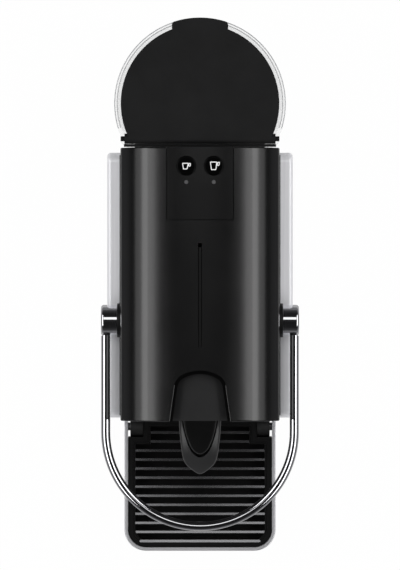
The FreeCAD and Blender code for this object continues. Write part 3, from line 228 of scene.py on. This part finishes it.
# moulded plastics and rubbers: tone from dark to light, gloss, mould grain per metre and its depth;
# the near-black look kept for added trim is painted shade: it stands for the shade in the capsule slot and
# along the slits
mouldedLooks = {
    "cover_black": {"tones": (0.0014, 0.003), "gloss": 0.2, "swing": 0.05, "grain": 2600, "depth": 0.5e-6,
                    "specular": 0.85},
    "control_black": {"tones": (0.0018, 0.0032), "gloss": 0.22, "swing": 0.05, "grain": 4200, "depth": 0.8e-6,
                      "specular": 0.6},
    "button_black": {"tones": (0.0008, 0.0016), "gloss": 0.08, "swing": 0.04, "grain": 1500, "depth": 0.1e-6,
                     "specular": 0.13},
    "light_grey": {"tones": (0.06, 0.085), "gloss": 0.3, "swing": 0.05, "grain": 2500, "depth": 1e-6,
                   "specular": 0.5},
    "washer_black": {"tones": (0.004, 0.007), "gloss": 0.45, "swing": 0.06, "grain": 4000, "depth": 2e-6,
                     "specular": 0.4},
    "casing_black": {"tones": (0.007, 0.012), "gloss": 0.45, "swing": 0.08, "grain": 2800, "depth": 6e-6,
                     "specular": 0.5},
    "nose_black": {"tones": (0.002, 0.004), "gloss": 0.36, "swing": 0.05, "grain": 3200, "depth": 2e-6,
                   "specular": 0.3},
    "spout_black": {"tones": (0.018, 0.027), "gloss": 0.36, "swing": 0.05, "grain": 3000, "depth": 2e-6,
                    "specular": 0.7},
    "shutter_black": {"tones": (0.0105, 0.016), "gloss": 0.48, "swing": 0.06, "grain": 3000, "depth": 2e-6,
                      "specular": 0.2},
    "bin_black": {"tones": (0.007, 0.011), "gloss": 0.4, "swing": 0.08, "grain": 2600, "depth": 5e-6,
                  "specular": 0.5},
    "tray_black": {"tones": (0.0015, 0.003), "gloss": 0.36, "swing": 0.08, "grain": 2600, "depth": 4e-6,
                   "specular": 0.25},
    "lid_black": {"tones": (0.006, 0.0095), "gloss": 0.6, "swing": 0.06, "grain": 3600, "depth": 7e-6,
                  "specular": 0.15},
    "rubber_black": {"tones": (0.009, 0.016), "gloss": 0.7, "swing": 0.1, "grain": 1800, "depth": 9e-6,
                     "specular": 0.35},
    # painted shade: near-black and nearly matt, for the added strips that stand in for shade
    "paintedShadeBlack": {"tones": (0.0005, 0.001), "gloss": 0.7, "swing": 0.06, "grain": 3000, "depth": 1e-6,
                  "specular": 0.05},
    "pump_grey": {"tones": (0.2, 0.28), "gloss": 0.45, "swing": 0.1, "grain": 2200, "depth": 5e-6,
                  "specular": 0.5},
    "fitting_white": {"tones": (0.6, 0.72), "gloss": 0.4, "swing": 0.08, "grain": 2200, "depth": 4e-6,
                      "specular": 0.5},
}


def mouldedFinish(name, look):
    material, tree, shader, place = startFinish(name, {"Specular IOR Level": look["specular"]})
    grain = useGroup(tree, mouldGrain, place, {"Scale": look["grain"]})
    dark, light = look["tones"]
    tint(tree, grain.outputs["Shade"], grey(dark), grey(light), shader.inputs["Base Color"])
    smudge(tree, place, smearScales["moulded"], look, shader)
    emboss(tree, grain.outputs["Height"], look["depth"], shader)
    return material


# metals: base colours, gloss, direction of the finish lines as lines per metre along X, Y, Z
metalLooks = {
    "panel_aluminium": {"tones": (0.8, 0.95), "gloss": 0.3, "swing": 0.08, "lines": (520, 9, 520),
                        "depth": 2.5e-6, "metallic": 0.2},
    "lever_chrome": {"tones": (0.84, 0.88), "gloss": 0.05, "swing": 0.04, "lines": (60, 60, 60),
                     "depth": 0.1e-6, "metallic": 1.0},
    "hoop_silver": {"tones": (0.84, 0.9), "gloss": 0.32, "swing": 0.06, "lines": (300, 300, 3000),
                    "depth": 1e-6, "metallic": 0.82},
    "grid_nickel": {"tones": (0.3, 0.38), "gloss": 0.25, "swing": 0.06, "lines": (40, 2400, 2400),
                    "depth": 1e-6, "metallic": 1.0},
    "inner_steel": {"tones": (0.42, 0.52), "gloss": 0.34, "swing": 0.1, "lines": (90, 2200, 2200),
                    "depth": 2e-6, "metallic": 1.0},
    "cage_aluminium": {"tones": (0.5, 0.62), "gloss": 0.5, "swing": 0.12, "lines": (700, 700, 700),
                       "depth": 8e-6, "metallic": 1.0},
}


def metalFinish(name, look):
    material, tree, shader, place = startFinish(name, {"Metallic": look["metallic"]})
    lines = useGroup(tree, brushing, stretched(tree, place, look["lines"]), {"Scale": 1.0})
    dark, light = look["tones"]
    tint(tree, lines.outputs["Shade"], grey(dark), grey(light), shader.inputs["Base Color"])
    smudge(tree, place, smearScales["metal"], look, shader)
    emboss(tree, lines.outputs["Height"], look["depth"], shader)
    return material


# clear mouldings: cover is how solid they look, from face on to along their walls; the rim's beads are darker
tankLook = {"clear": (0.84, 0.86, 0.87), "hazy": (0.91, 0.92, 0.93), "gloss": 0.06, "swing": 0.04,
            "cover": (0.06, 0.13), "edge": (0.5, 1.0), "specular": 1.0, "ripple": (60, 2.0, 0.4),
            "depth": 4e-6}
rimLook = {"clear": (0.14, 0.15, 0.16), "hazy": (0.22, 0.23, 0.24), "gloss": 0.1, "swing": 0.04,
           "cover": (0.42, 0.75), "edge": (0.2, 0.9), "specular": 1.0, "ripple": (60, 2.0, 0.4),
           "depth": 4e-6}


def clearFinish(name, look):
    material, tree, shader, place = startFinish(name, {"Specular IOR Level": look["specular"]})
    mask = smudge(tree, place, smearScales["clear"], look, shader)
    tint(tree, mask, look["clear"], look["hazy"], shader.inputs["Base Color"])
    facing = tree.nodes.new("ShaderNodeLayerWeight").outputs["Facing"]
    tree.links.new(mapRange(tree, facing, look["edge"], look["cover"]), shader.inputs["Alpha"])
    emboss(tree, noiseNode(tree, place, *look["ripple"]), look["depth"], shader)
    return material


coilLook = {"copper": (0.32, 0.12, 0.035), "varnish": (0.5, 0.22, 0.07), "turns": 900, "wobble": 0.6,
            "gloss": 0.28, "metallic": 0.6, "depth": 4e-5}


def coilFinish(name, look):
    sockets = {"Roughness": look["gloss"], "Metallic": look["metallic"]}
    material, tree, shader, place = startFinish(name, sockets)
    wave = tree.nodes.new("ShaderNodeTexWave")
    wave.bands_direction = "Y"
    wave.inputs["Scale"].default_value = look["turns"]
    wave.inputs["Distortion"].default_value = look["wobble"]
    tree.links.new(place, wave.inputs["Vector"])
    tint(tree, wave.outputs["Fac"], look["copper"], look["varnish"], shader.inputs["Base Color"])
    emboss(tree, wave.outputs["Fac"], look["depth"], shader)
    return material


boardLook = {"lacquer": (0.012, 0.07, 0.03), "track": (0.03, 0.16, 0.07), "pitch": 260, "gloss": 0.32,
             "depth": 2e-5}


def boardFinish(name, look):
    material, tree, shader, place = startFinish(name, {"Roughness": look["gloss"]})
    tracks = tree.nodes.new("ShaderNodeTexVoronoi")
    tracks.distance = "MANHATTAN"
    tracks.feature = "F1"
    tracks.inputs["Scale"].default_value = look["pitch"]
    tree.links.new(place, tracks.inputs["Vector"])
    tint(tree, tracks.outputs["Distance"], look["track"], look["lacquer"], shader.inputs["Base Color"])
    emboss(tree, tracks.outputs["Distance"], look["depth"], shader)
    return material


hoseLook = {"milky": (0.62, 0.62, 0.58), "pale": (0.74, 0.74, 0.7), "gloss": 0.35, "swing": 0.1,
            "through": 0.35, "index": 1.41, "grain": 1400, "depth": 5e-6}


def hoseFinish(name, look):
    sockets = {"Transmission Weight": look["through"], "IOR": look["index"]}
    material, tree, shader, place = startFinish(name, sockets)
    grain = useGroup(tree, mouldGrain, place, {"Scale": look["grain"]})
    tint(tree, grain.outputs["Shade"], look["milky"], look["pale"], shader.inputs["Base Color"])
    smudge(tree, place, smearScales["hose"], look, shader)
    emboss(tree, grain.outputs["Height"], look["depth"], shader)
    return material


finishes = {slot: mouldedFinish(slot, look) for slot, look in mouldedLooks.items()}
finishes.update({slot: metalFinish(slot, look) for slot, look in metalLooks.items()})
finishes["tank_clear"] = clearFinish("tank_clear", tankLook)
finishes["tankRim"] = clearFinish("tankRim", rimLook)
finishes["coil_wrap"] = coilFinish("coil_wrap", coilLook)
finishes["board_green"] = boardFinish("board_green", boardLook)
finishes["hose_milky"] = hoseFinish("hose_milky", hoseLook)
for row in frame["record"]["subparts"]:
    mesh = nodes[row["node"]].data
    mesh.materials.clear()
    mesh.materials.append(finishes[row["material_slot"]])
print("finishes made:", len(finishes))


# helpers for new pieces; their sizes are in millimetres

# points closer than this are one point
sameSpot = 1e-4
# facets on the rounded edges of a plain bar
barFacets = 2


def toMetres(bm):
    bmesh.ops.scale(bm, vec=(millimetre, millimetre, millimetre), verts=bm.verts[:])


def newPiece(name, bm, material, body):
    mesh = bpy.data.meshes.new(name)
    bm.to_mesh(mesh)
    bm.free()
    mesh.materials.append(material)
    piece = bpy.data.objects.new(name, mesh)
    bpy.context.scene.collection.objects.link(piece)
    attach(piece, body)


def vertsOf(geom):
    return [item for item in geom if isinstance(item, bmesh.types.BMVert)]


def edgesOf(geom):
    return [item for item in geom if isinstance(item, bmesh.types.BMEdge)]


def roundEdges(bm, edges, radius, facets):
    bmesh.ops.bevel(bm, geom=edges, offset=radius, affect="EDGES", segments=facets, profile=0.5, material=-1)


def block(size):
    bm = bmesh.new()
    bmesh.ops.create_cube(bm, size=1.0)
    bmesh.ops.scale(bm, vec=size, verts=bm.verts[:])
    return bm


def barPiece(size, place, rounding):
    bm = block(size)
    roundEdges(bm, bm.edges[:], rounding, barFacets)
    bmesh.ops.translate(bm, vec=place, verts=bm.verts[:])
    toMetres(bm)
    return bm


# print on the buttons
inkLook = {"dark": 0.68, "light": 0.82, "gloss": 0.5, "specular": 0.3, "speckle": (9000, 2.0, 0.6)}


def printInk(look):
    sockets = {"Roughness": look["gloss"], "Specular IOR Level": look["specular"]}
    material, tree, shader, place = startFinish("markInk", sockets)
    speckle = noiseNode(tree, place, *look["speckle"])
    dark, light = [(look[tone],) * 3 for tone in ("dark", "light")]
    tint(tree, speckle, dark, light, shader.inputs["Base Color"])
    return material


def addPrintedRing(bm, corners, look):
    # a closed line of print: a flat face, its corners rounded, its middle taken out
    line = bmesh.new()
    line.faces.new([line.verts.new((x, y, 0)) for x, y in corners])
    bmesh.ops.bevel(line, geom=line.verts[:], offset=look["bend"], affect="VERTICES",
                    segments=look["facets"], profile=0.5, material=-1)
    ring = bmesh.ops.inset_region(line, faces=line.faces[:], thickness=look["stroke"], use_boundary=True,
                                  use_even_offset=True)["faces"]
    bmesh.ops.delete(line, geom=[face for face in line.faces if face not in ring], context="FACES")
    scratch = bpy.data.meshes.new("scratch")
    line.to_mesh(scratch)
    line.free()
    bm.from_mesh(scratch)
    bpy.data.meshes.remove(scratch)


# cup outlines from the middle of the button: left and right at rim and foot, handle as reach, top, bottom
smallCupMark = {"button": "small_cup_button", "body": "small_button", "left": (-2.5, -1.9),
                "right": (1.5, 0.7), "top": 1.7, "bottom": -2.2, "handle": (2.8, 1.6, -0.5)}
largeCupMark = {"button": "large_cup_button", "body": "large_button", "left": (-2.3, -1.6),
                "right": (2.1, 1.5), "top": 2.4, "bottom": -2.6, "handle": (3.6, 2.2, -0.1)}
# the line of both cups, and of their handles, which are drawn a little finer
cupLine = {"stroke": 0.54, "bend": 0.5, "facets": 4, "ink": 0.03}
handleLine = {"stroke": 0.486, "bend": 0.4, "facets": 4, "drawnIn": 0.3}


def cupMark(name, look, ink):
    low, high = (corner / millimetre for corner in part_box(look["button"]))
    bm = bmesh.new()
    cup = [(look["left"][0], look["top"]), (look["left"][1], look["bottom"]),
           (look["right"][1], look["bottom"]), (look["right"][0], look["top"])]
    addPrintedRing(bm, cup, cupLine)
    reach, upper, lower = look["handle"]
    slant = (look["right"][0] - look["right"][1]) / (look["top"] - look["bottom"])
    root = [look["right"][0] - slant * (look["top"] - level) for level in (lower, upper)]
    handle = [(root[0], lower), (reach - handleLine["drawnIn"], lower), (reach, upper), (root[1], upper)]
    addPrintedRing(bm, handle, handleLine)
    raised = bmesh.ops.extrude_face_region(bm, geom=bm.faces[:])["geom"]
    bmesh.ops.translate(bm, vec=(0, 0, cupLine["ink"]), verts=vertsOf(raised))
    bmesh.ops.recalc_face_normals(bm, faces=bm.faces[:])
    middle = (low + high) / 2
    bmesh.ops.translate(bm, vec=(middle.x, middle.y, high.z), verts=bm.verts[:])
    toMetres(bm)
    newPiece(name, bm, ink, look["body"])


ink = printInk(inkLook)
cupMark("smallCupMark", smallCupMark, ink)
cupMark("largeCupMark", largeCupMark, ink)
print("button marks printed")

# painted shade: black strip where the cover stands on each side panel, standing in for the shade in the gap
# between them
panelGapShadeLook = {"panels": {"leftPanelGapShade": "left_side_panel", "rightPanelGapShade": "right_side_panel"}, "width": 1.0,
              "height": 0.4, "round": 0.12, "short": 1.5}


def panelGapShade(name, panel, look):
    low, high = (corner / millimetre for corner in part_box(panel))
    side = 1 if low.x > 0 else -1
    inner = min(abs(low.x), abs(high.x))
    size = (look["width"], high.y - low.y - 2 * look["short"], look["height"])
    place = (side * (inner + look["width"] / 2), (low.y + high.y) / 2, high.z + look["height"] / 2)
    newPiece(name, barPiece(size, place, look["round"]), finishes["rubber_black"], "machine")


for name, panel in panelGapShadeLook["panels"].items():
    panelGapShade(name, panel, panelGapShadeLook)

# painted shade: dark strip on the tank's front wall, under the hinge of its lid, standing in for the shade in
# the gap between lid and cover
hingeShadeStripLook = {"half": 45, "depth": 1.65, "height": 2.0, "proud": 0.7, "drop": 4.2, "round": 0.2}


def hingeShadeStrip(look):
    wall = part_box("water_tank")[0].y / millimetre
    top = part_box("tank_lid")[1].z / millimetre
    size = (2 * look["half"], look["depth"], look["height"])
    place = (0, wall - look["proud"] + look["depth"] / 2, top - look["drop"] - look["height"] / 2)
    newPiece("hingeShadeStrip", barPiece(size, place, look["round"]), finishes["lid_black"], "tank")


hingeShadeStrip(hingeShadeStripLook)

# moulded beads round the tank's rim: radius of the ring, and how far round from the rear each side goes
rimBeadLook = {"rings": {"outerRimBead": 50.4, "innerRimBead": 48.95}, "middle": 112.5, "thick": 0.3,
               "sweep": 107.0, "sides": 10, "steps": 96, "sunk": 0.1}


def rimBead(name, ring, look):
    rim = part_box("water_tank")[1].z / millimetre
    sweep = math.radians(look["sweep"])
    bm = bmesh.new()
    bmesh.ops.create_circle(bm, cap_ends=True, segments=look["sides"], radius=look["thick"])
    bmesh.ops.rotate(bm, cent=(0, 0, 0), matrix=Matrix.Rotation(math.pi / 2, 3, "X"), verts=bm.verts[:])
    bmesh.ops.translate(bm, vec=(ring, 0, 0), verts=bm.verts[:])
    turn = Matrix.Rotation(math.pi / 2 - sweep, 3, "Z")
    bmesh.ops.rotate(bm, cent=(0, 0, 0), matrix=turn, verts=bm.verts[:])
    bmesh.ops.spin(bm, geom=bm.faces[:], cent=(0, 0, 0), axis=(0, 0, 1), angle=2 * sweep, steps=look["steps"])
    bmesh.ops.recalc_face_normals(bm, faces=bm.faces[:])
    bmesh.ops.translate(bm, vec=(0, look["middle"], rim - look["sunk"]), verts=bm.verts[:])
    toMetres(bm)
    newPiece(name, bm, finishes["tankRim"], "tank")


for name, ring in rimBeadLook["rings"].items():
    rimBead(name, ring, rimBeadLook)

# capsule slot in the cover, seen from above: sides that lean in, rounded corners, a domed rear
slotPlan = {"half": 18.1, "taper": 0.1395, "depth": 29.9, "dome": 22.0, "corner": 9.0}
# arch of the cover: height of its axis and its radius
crown = {"axis": 125.0, "radius": 110.0}


def slotSide():
    # where the right side of the slot starts at the front, and its direction to the rear
    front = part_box("top_cover")[0].y / millimetre
    along = Vector((-slotPlan["taper"], math.sqrt(1 - slotPlan["taper"] ** 2)))
    return Vector((slotPlan["half"], front)), along


# polished bead along both straight sides of the slot, from the front edge back
slotBeadLook = {"start": 0.2, "run": 21.5, "radius": 0.3, "sunk": 0.3, "sides": 12, "tip": 0.18, "facets": 3}


def slotBead(name, side, look):
    foot, along = slotSide()
    plan = [foot + along * (look["start"] + reach) for reach in (0, look["run"])]
    levels = [crown["axis"] + math.sqrt(crown["radius"] ** 2 - x ** 2) - look["sunk"] for x, y in plan]
    ends = [Vector((side * x, y, level)) * millimetre for (x, y), level in zip(plan, levels)]
    run = ends[1] - ends[0]
    radius = look["radius"] * millimetre
    bm = bmesh.new()
    bmesh.ops.create_cone(bm, cap_ends=True, segments=look["sides"], radius1=radius, radius2=radius,
                          depth=run.length)
    rims = [edge for edge in bm.edges if any(len(face.verts) == look["sides"] for face in edge.link_faces)]
    roundEdges(bm, rims, look["tip"] * millimetre, look["facets"])
    bmesh.ops.rotate(bm, cent=(0, 0, 0), matrix=run.to_track_quat("Z", "Y").to_matrix(), verts=bm.verts[:])
    bmesh.ops.translate(bm, vec=(ends[0] + ends[1]) / 2, verts=bm.verts[:])
    newPiece(name, bm, finishes["cover_black"], "machine")


slotBead("leftSlotBead", -1, slotBeadLook)
slotBead("rightSlotBead", 1, slotBeadLook)

# painted shade: a near-black band under the edge of the slot, standing in for the shade there; how far it
# reaches past the edge both ways, its levels
slotShadeBandLook = {"out": 0.3, "in": 1.8, "levels": (230.9, 232.9), "short": 0.5, "steps": 10}


def slotArcs():
    # right half of the slot's rear: centre and turn of the dome and of the corner, length of the side
    foot, along = slotSide()
    inward = Vector((-along.y, along.x))
    dome = Vector((0, foot.y + slotPlan["depth"] - slotPlan["dome"]))
    begin = foot + inward * slotPlan["corner"] - dome
    lead = begin.dot(along)
    run = math.sqrt(lead ** 2 - begin.length_squared + (slotPlan["dome"] - slotPlan["corner"]) ** 2) - lead
    corner = begin + along * run
    domeTurn = math.atan2(corner.x, corner.y)
    cornerTurn = math.atan2(-inward.x, -inward.y) - domeTurn
    return ((dome, domeTurn), (dome + corner, cornerTurn)), run


def slotShadeBand(look):
    foot, along = slotSide()
    arcs, run = slotArcs()
    rear = foot.y + slotPlan["depth"]
    inner, outer = rear - look["in"], rear + look["out"]
    low, high = look["levels"]
    bm = bmesh.new()
    section = [bm.verts.new((0, y, z)) for y, z in ((inner, low), (outer, low), (outer, high), (inner, high))]
    loop = [bm.edges.new((section[i - 1], section[i])) for i in range(len(section))]
    for middle, turn in arcs:
        swept = bmesh.ops.spin(bm, geom=loop, cent=middle.to_3d(), axis=(0, 0, -1), angle=turn,
                               steps=look["steps"])
        loop = edgesOf(swept["geom_last"])
    tips = vertsOf(bmesh.ops.extrude_edge_only(bm, edges=loop)["geom"])
    bmesh.ops.translate(bm, vec=(along * (look["short"] - run)).to_3d(), verts=tips)
    bmesh.ops.edgeloop_fill(bm, edges=[edge for edge in bm.edges if all(v in tips for v in edge.verts)])
    half = bm.verts[:] + bm.edges[:] + bm.faces[:]
    bmesh.ops.mirror(bm, geom=half, matrix=Matrix.Identity(4), merge_dist=sameSpot, axis="X")
    bmesh.ops.remove_doubles(bm, verts=bm.verts[:], dist=sameSpot)
    bmesh.ops.recalc_face_normals(bm, faces=bm.faces[:])
    toMetres(bm)
    newPiece("slotShadeBand", bm, finishes["paintedShadeBlack"], "machine")


slotShadeBand(slotShadeBandLook)

# painted shade: two near-black strips along the crown, standing in for the shade in the slits of the cover;
# they line the slits and run on in front of them
slitShadeLook = {"out": 0.85, "width": 0.42, "ends": (-31.3, 27.4), "levels": (234.3, 235.03), "round": 0.08}


def slitShadeStrip(name, side, look):
    front, rear = look["ends"]
    low, high = look["levels"]
    size = (look["width"], rear - front, high - low)
    place = (side * look["out"], (front + rear) / 2, (low + high) / 2)
    newPiece(name, barPiece(size, place, look["round"]), finishes["paintedShadeBlack"], "machine")


slitShadeStrip("leftSlitShade", -1, slitShadeLook)
slitShadeStrip("rightSlitShade", 1, slitShadeLook)

# front bar of the drip grid, on the edge of the tray: its top falls to the rear like the slats behind it
frontSlatLook = {"half": 38.2, "width": 1.9, "middle": 6.15, "levels": (36.3, 36.95), "fall": 0.3,
                 "end": 0.76, "endFacets": 4, "round": 0.2, "facets": 3}


def isUpright(edge):
    first, second = edge.verts
    return (first.co.xy - second.co.xy).length < sameSpot


def frontSlat(look):
    low, high = look["levels"]
    bm = block((2 * look["half"], look["width"], high - low))
    rearTop = [v for v in bm.verts if v.co.y > 0 and v.co.z > 0]
    bmesh.ops.translate(bm, vec=(0, 0, -look["fall"]), verts=rearTop)
    upright = [edge for edge in bm.edges if isUpright(edge)]
    roundEdges(bm, upright, look["end"], look["endFacets"])
    ridge = [edge for edge in bm.edges if all(v.co.z > 0 for v in edge.verts)]
    roundEdges(bm, ridge, look["round"], look["facets"])
    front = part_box("cup_frame")[0].y / millimetre
    bmesh.ops.translate(bm, vec=(0, front + look["middle"], (low + high) / 2), verts=bm.verts[:])
    bmesh.ops.recalc_face_normals(bm, faces=bm.faces[:])
    toMetres(bm)
    newPiece("frontSlat", bm, finishes["grid_nickel"], "cup_support")


frontSlat(frontSlatLook)
print("thin trim added")


# studio: floor, world, lamps and camera

# white table top: its rim glows like the white behind it, so that no edge shows;
# polished surfaces mirror that glow dimmed
floorLook = {"radius": 0.45, "sides": 96, "tone": 0.82, "paper": 0.98, "fade": (0.25, 0.42), "mirrored": 0.4}


def paperFinish(look):
    material = bpy.data.materials.new("studioPaper")
    material.use_nodes = True
    tree = material.node_tree
    tree.nodes.clear()
    paper = tree.nodes.new("ShaderNodeBsdfDiffuse")
    paper.inputs["Color"].default_value = (look["tone"], look["tone"], look["tone"], 1)
    path = tree.nodes.new("ShaderNodeLightPath")
    white = tree.nodes.new("ShaderNodeEmission")
    dimmed = mathNode(tree, "MULTIPLY", path.outputs["Is Glossy Ray"], 1 - look["mirrored"])
    tree.links.new(mathNode(tree, "SUBTRACT", 1.0, dimmed), white.inputs["Strength"])
    reach = tree.nodes.new("ShaderNodeVectorMath")
    reach.operation = "LENGTH"
    tree.links.new(tree.nodes.new("ShaderNodeTexCoord").outputs["Object"], reach.inputs[0])
    share = mapRange(tree, reach.outputs["Value"], look["fade"], (look["paper"], 1))
    seen = mathNode(tree, "MAXIMUM", path.outputs["Is Camera Ray"], path.outputs["Is Glossy Ray"])
    seen = mathNode(tree, "MAXIMUM", seen, path.outputs["Is Transmission Ray"])
    glow = mathNode(tree, "MULTIPLY", seen, share)
    surface = mixShaders(tree, glow, paper.outputs[0], white.outputs[0])
    tree.links.new(surface, tree.nodes.new("ShaderNodeOutputMaterial").inputs["Surface"])
    return material


def studioFloor(look):
    bm = bmesh.new()
    bmesh.ops.create_circle(bm, cap_ends=True, segments=look["sides"], radius=look["radius"])
    mesh = bpy.data.meshes.new("studioFloor")
    bm.to_mesh(mesh)
    bm.free()
    mesh.materials.append(paperFinish(look))
    floor = bpy.data.objects.new("studioFloor", mesh)
    bpy.context.scene.collection.objects.link(floor)


# room seen by polished surfaces: height of the direction (0 level, 1 straight up) and brightness
worldLook = {"ambient": 0.6, "room": ((0.0, 0.16), (0.2, 0.04), (0.6, 0.012), (0.975, 0.01), (1.0, 0.02))}


def evenLight(tree, strength):
    node = tree.nodes.new("ShaderNodeBackground")
    node.inputs["Color"].default_value = (1, 1, 1, 1)
    node.inputs["Strength"].default_value = strength
    return node.outputs[0]


def studioWorld(look):
    world = bpy.data.worlds.new("studioWorld")
    world.use_nodes = True
    tree = world.node_tree
    tree.nodes.clear()
    up = tree.nodes.new("ShaderNodeSeparateXYZ")
    tree.links.new(tree.nodes.new("ShaderNodeTexCoord").outputs["Generated"], up.inputs[0])
    dome = tree.nodes.new("ShaderNodeValToRGB")
    stops = dome.color_ramp.elements
    while len(stops) < len(look["room"]):
        stops.new(1.0)
    for stop, (height, glow) in zip(stops, look["room"]):
        stop.position = height
        stop.color = (*grey(glow), 1)
    tree.links.new(up.outputs["Z"], dome.inputs["Fac"])
    room = tree.nodes.new("ShaderNodeBackground")
    tree.links.new(dome.outputs["Color"], room.inputs["Color"])
    path = tree.nodes.new("ShaderNodeLightPath")
    fill = evenLight(tree, look["ambient"])
    lit = mixShaders(tree, path.outputs["Is Glossy Ray"], fill, room.outputs[0])
    seen = mathNode(tree, "MAXIMUM", path.outputs["Is Camera Ray"], path.outputs["Is Transmission Ray"])
    surface = mixShaders(tree, seen, lit, evenLight(tree, 1.0))
    tree.links.new(surface, tree.nodes.new("ShaderNodeOutputWorld").inputs["Surface"])
    bpy.context.scene.world = world


# soft boxes: degrees from straight up, compass turn, distance and size in metres, brightness of the face
softBoxes = {
    "leftInner": {"lean": 39.5, "turn": 270, "away": 1.2, "size": (1.7, 0.4), "face": 2.6},
    "leftOuter": {"lean": 58, "turn": 270, "away": 1.2, "size": (1.7, 0.38), "face": 0.8},
    "rightInner": {"lean": 39.5, "turn": 90, "away": 1.2, "size": (1.7, 0.4), "face": 2.6},
    "rightOuter": {"lean": 58, "turn": 90, "away": 1.2, "size": (1.7, 0.38), "face": 0.8},
    "rearTop": {"lean": 15.5, "turn": 0, "away": 3.0, "size": (1.4, 0.9), "face": 1.15},
}
lampAim = Vector((0, -0.02, 0.22))


def softBox(name, look):
    lean, turn = math.radians(look["lean"]), math.radians(look["turn"])
    out = Vector((math.sin(lean) * math.sin(turn), math.sin(lean) * math.cos(turn), math.cos(lean)))
    data = bpy.data.lights.new(name, "AREA")
    data.shape = "RECTANGLE"
    data.size, data.size_y = look["size"]
    data.energy = look["face"] * math.pi * data.size * data.size_y
    lamp = bpy.data.objects.new(name, data)
    lamp.location = lampAim + out * look["away"]
    lamp.rotation_mode = "QUATERNION"
    lamp.rotation_quaternion = (-out).to_track_quat("-Z", "Y")
    bpy.context.scene.collection.objects.link(lamp)


cameraLook = {"place": (0, 0.0053, 2.837), "lens": 278.9, "sensor": 36.0, "far": 50}


def studioCamera(look):
    data = bpy.data.cameras.new("studioCamera")
    data.sensor_fit = "AUTO"
    data.sensor_width = look["sensor"]
    data.lens = look["lens"]
    data.clip_end = look["far"]
    camera = bpy.data.objects.new("studioCamera", data)
    camera.location = look["place"]
    bpy.context.scene.collection.objects.link(camera)
    bpy.context.scene.camera = camera


studioFloor(floorLook)
studioWorld(worldLook)
for name, look in softBoxes.items():
    softBox(name, look)
studioCamera(cameraLook)
bpy.context.scene.view_settings.view_transform = "Standard"
print("studio ready:", len(softBoxes), "soft boxes")
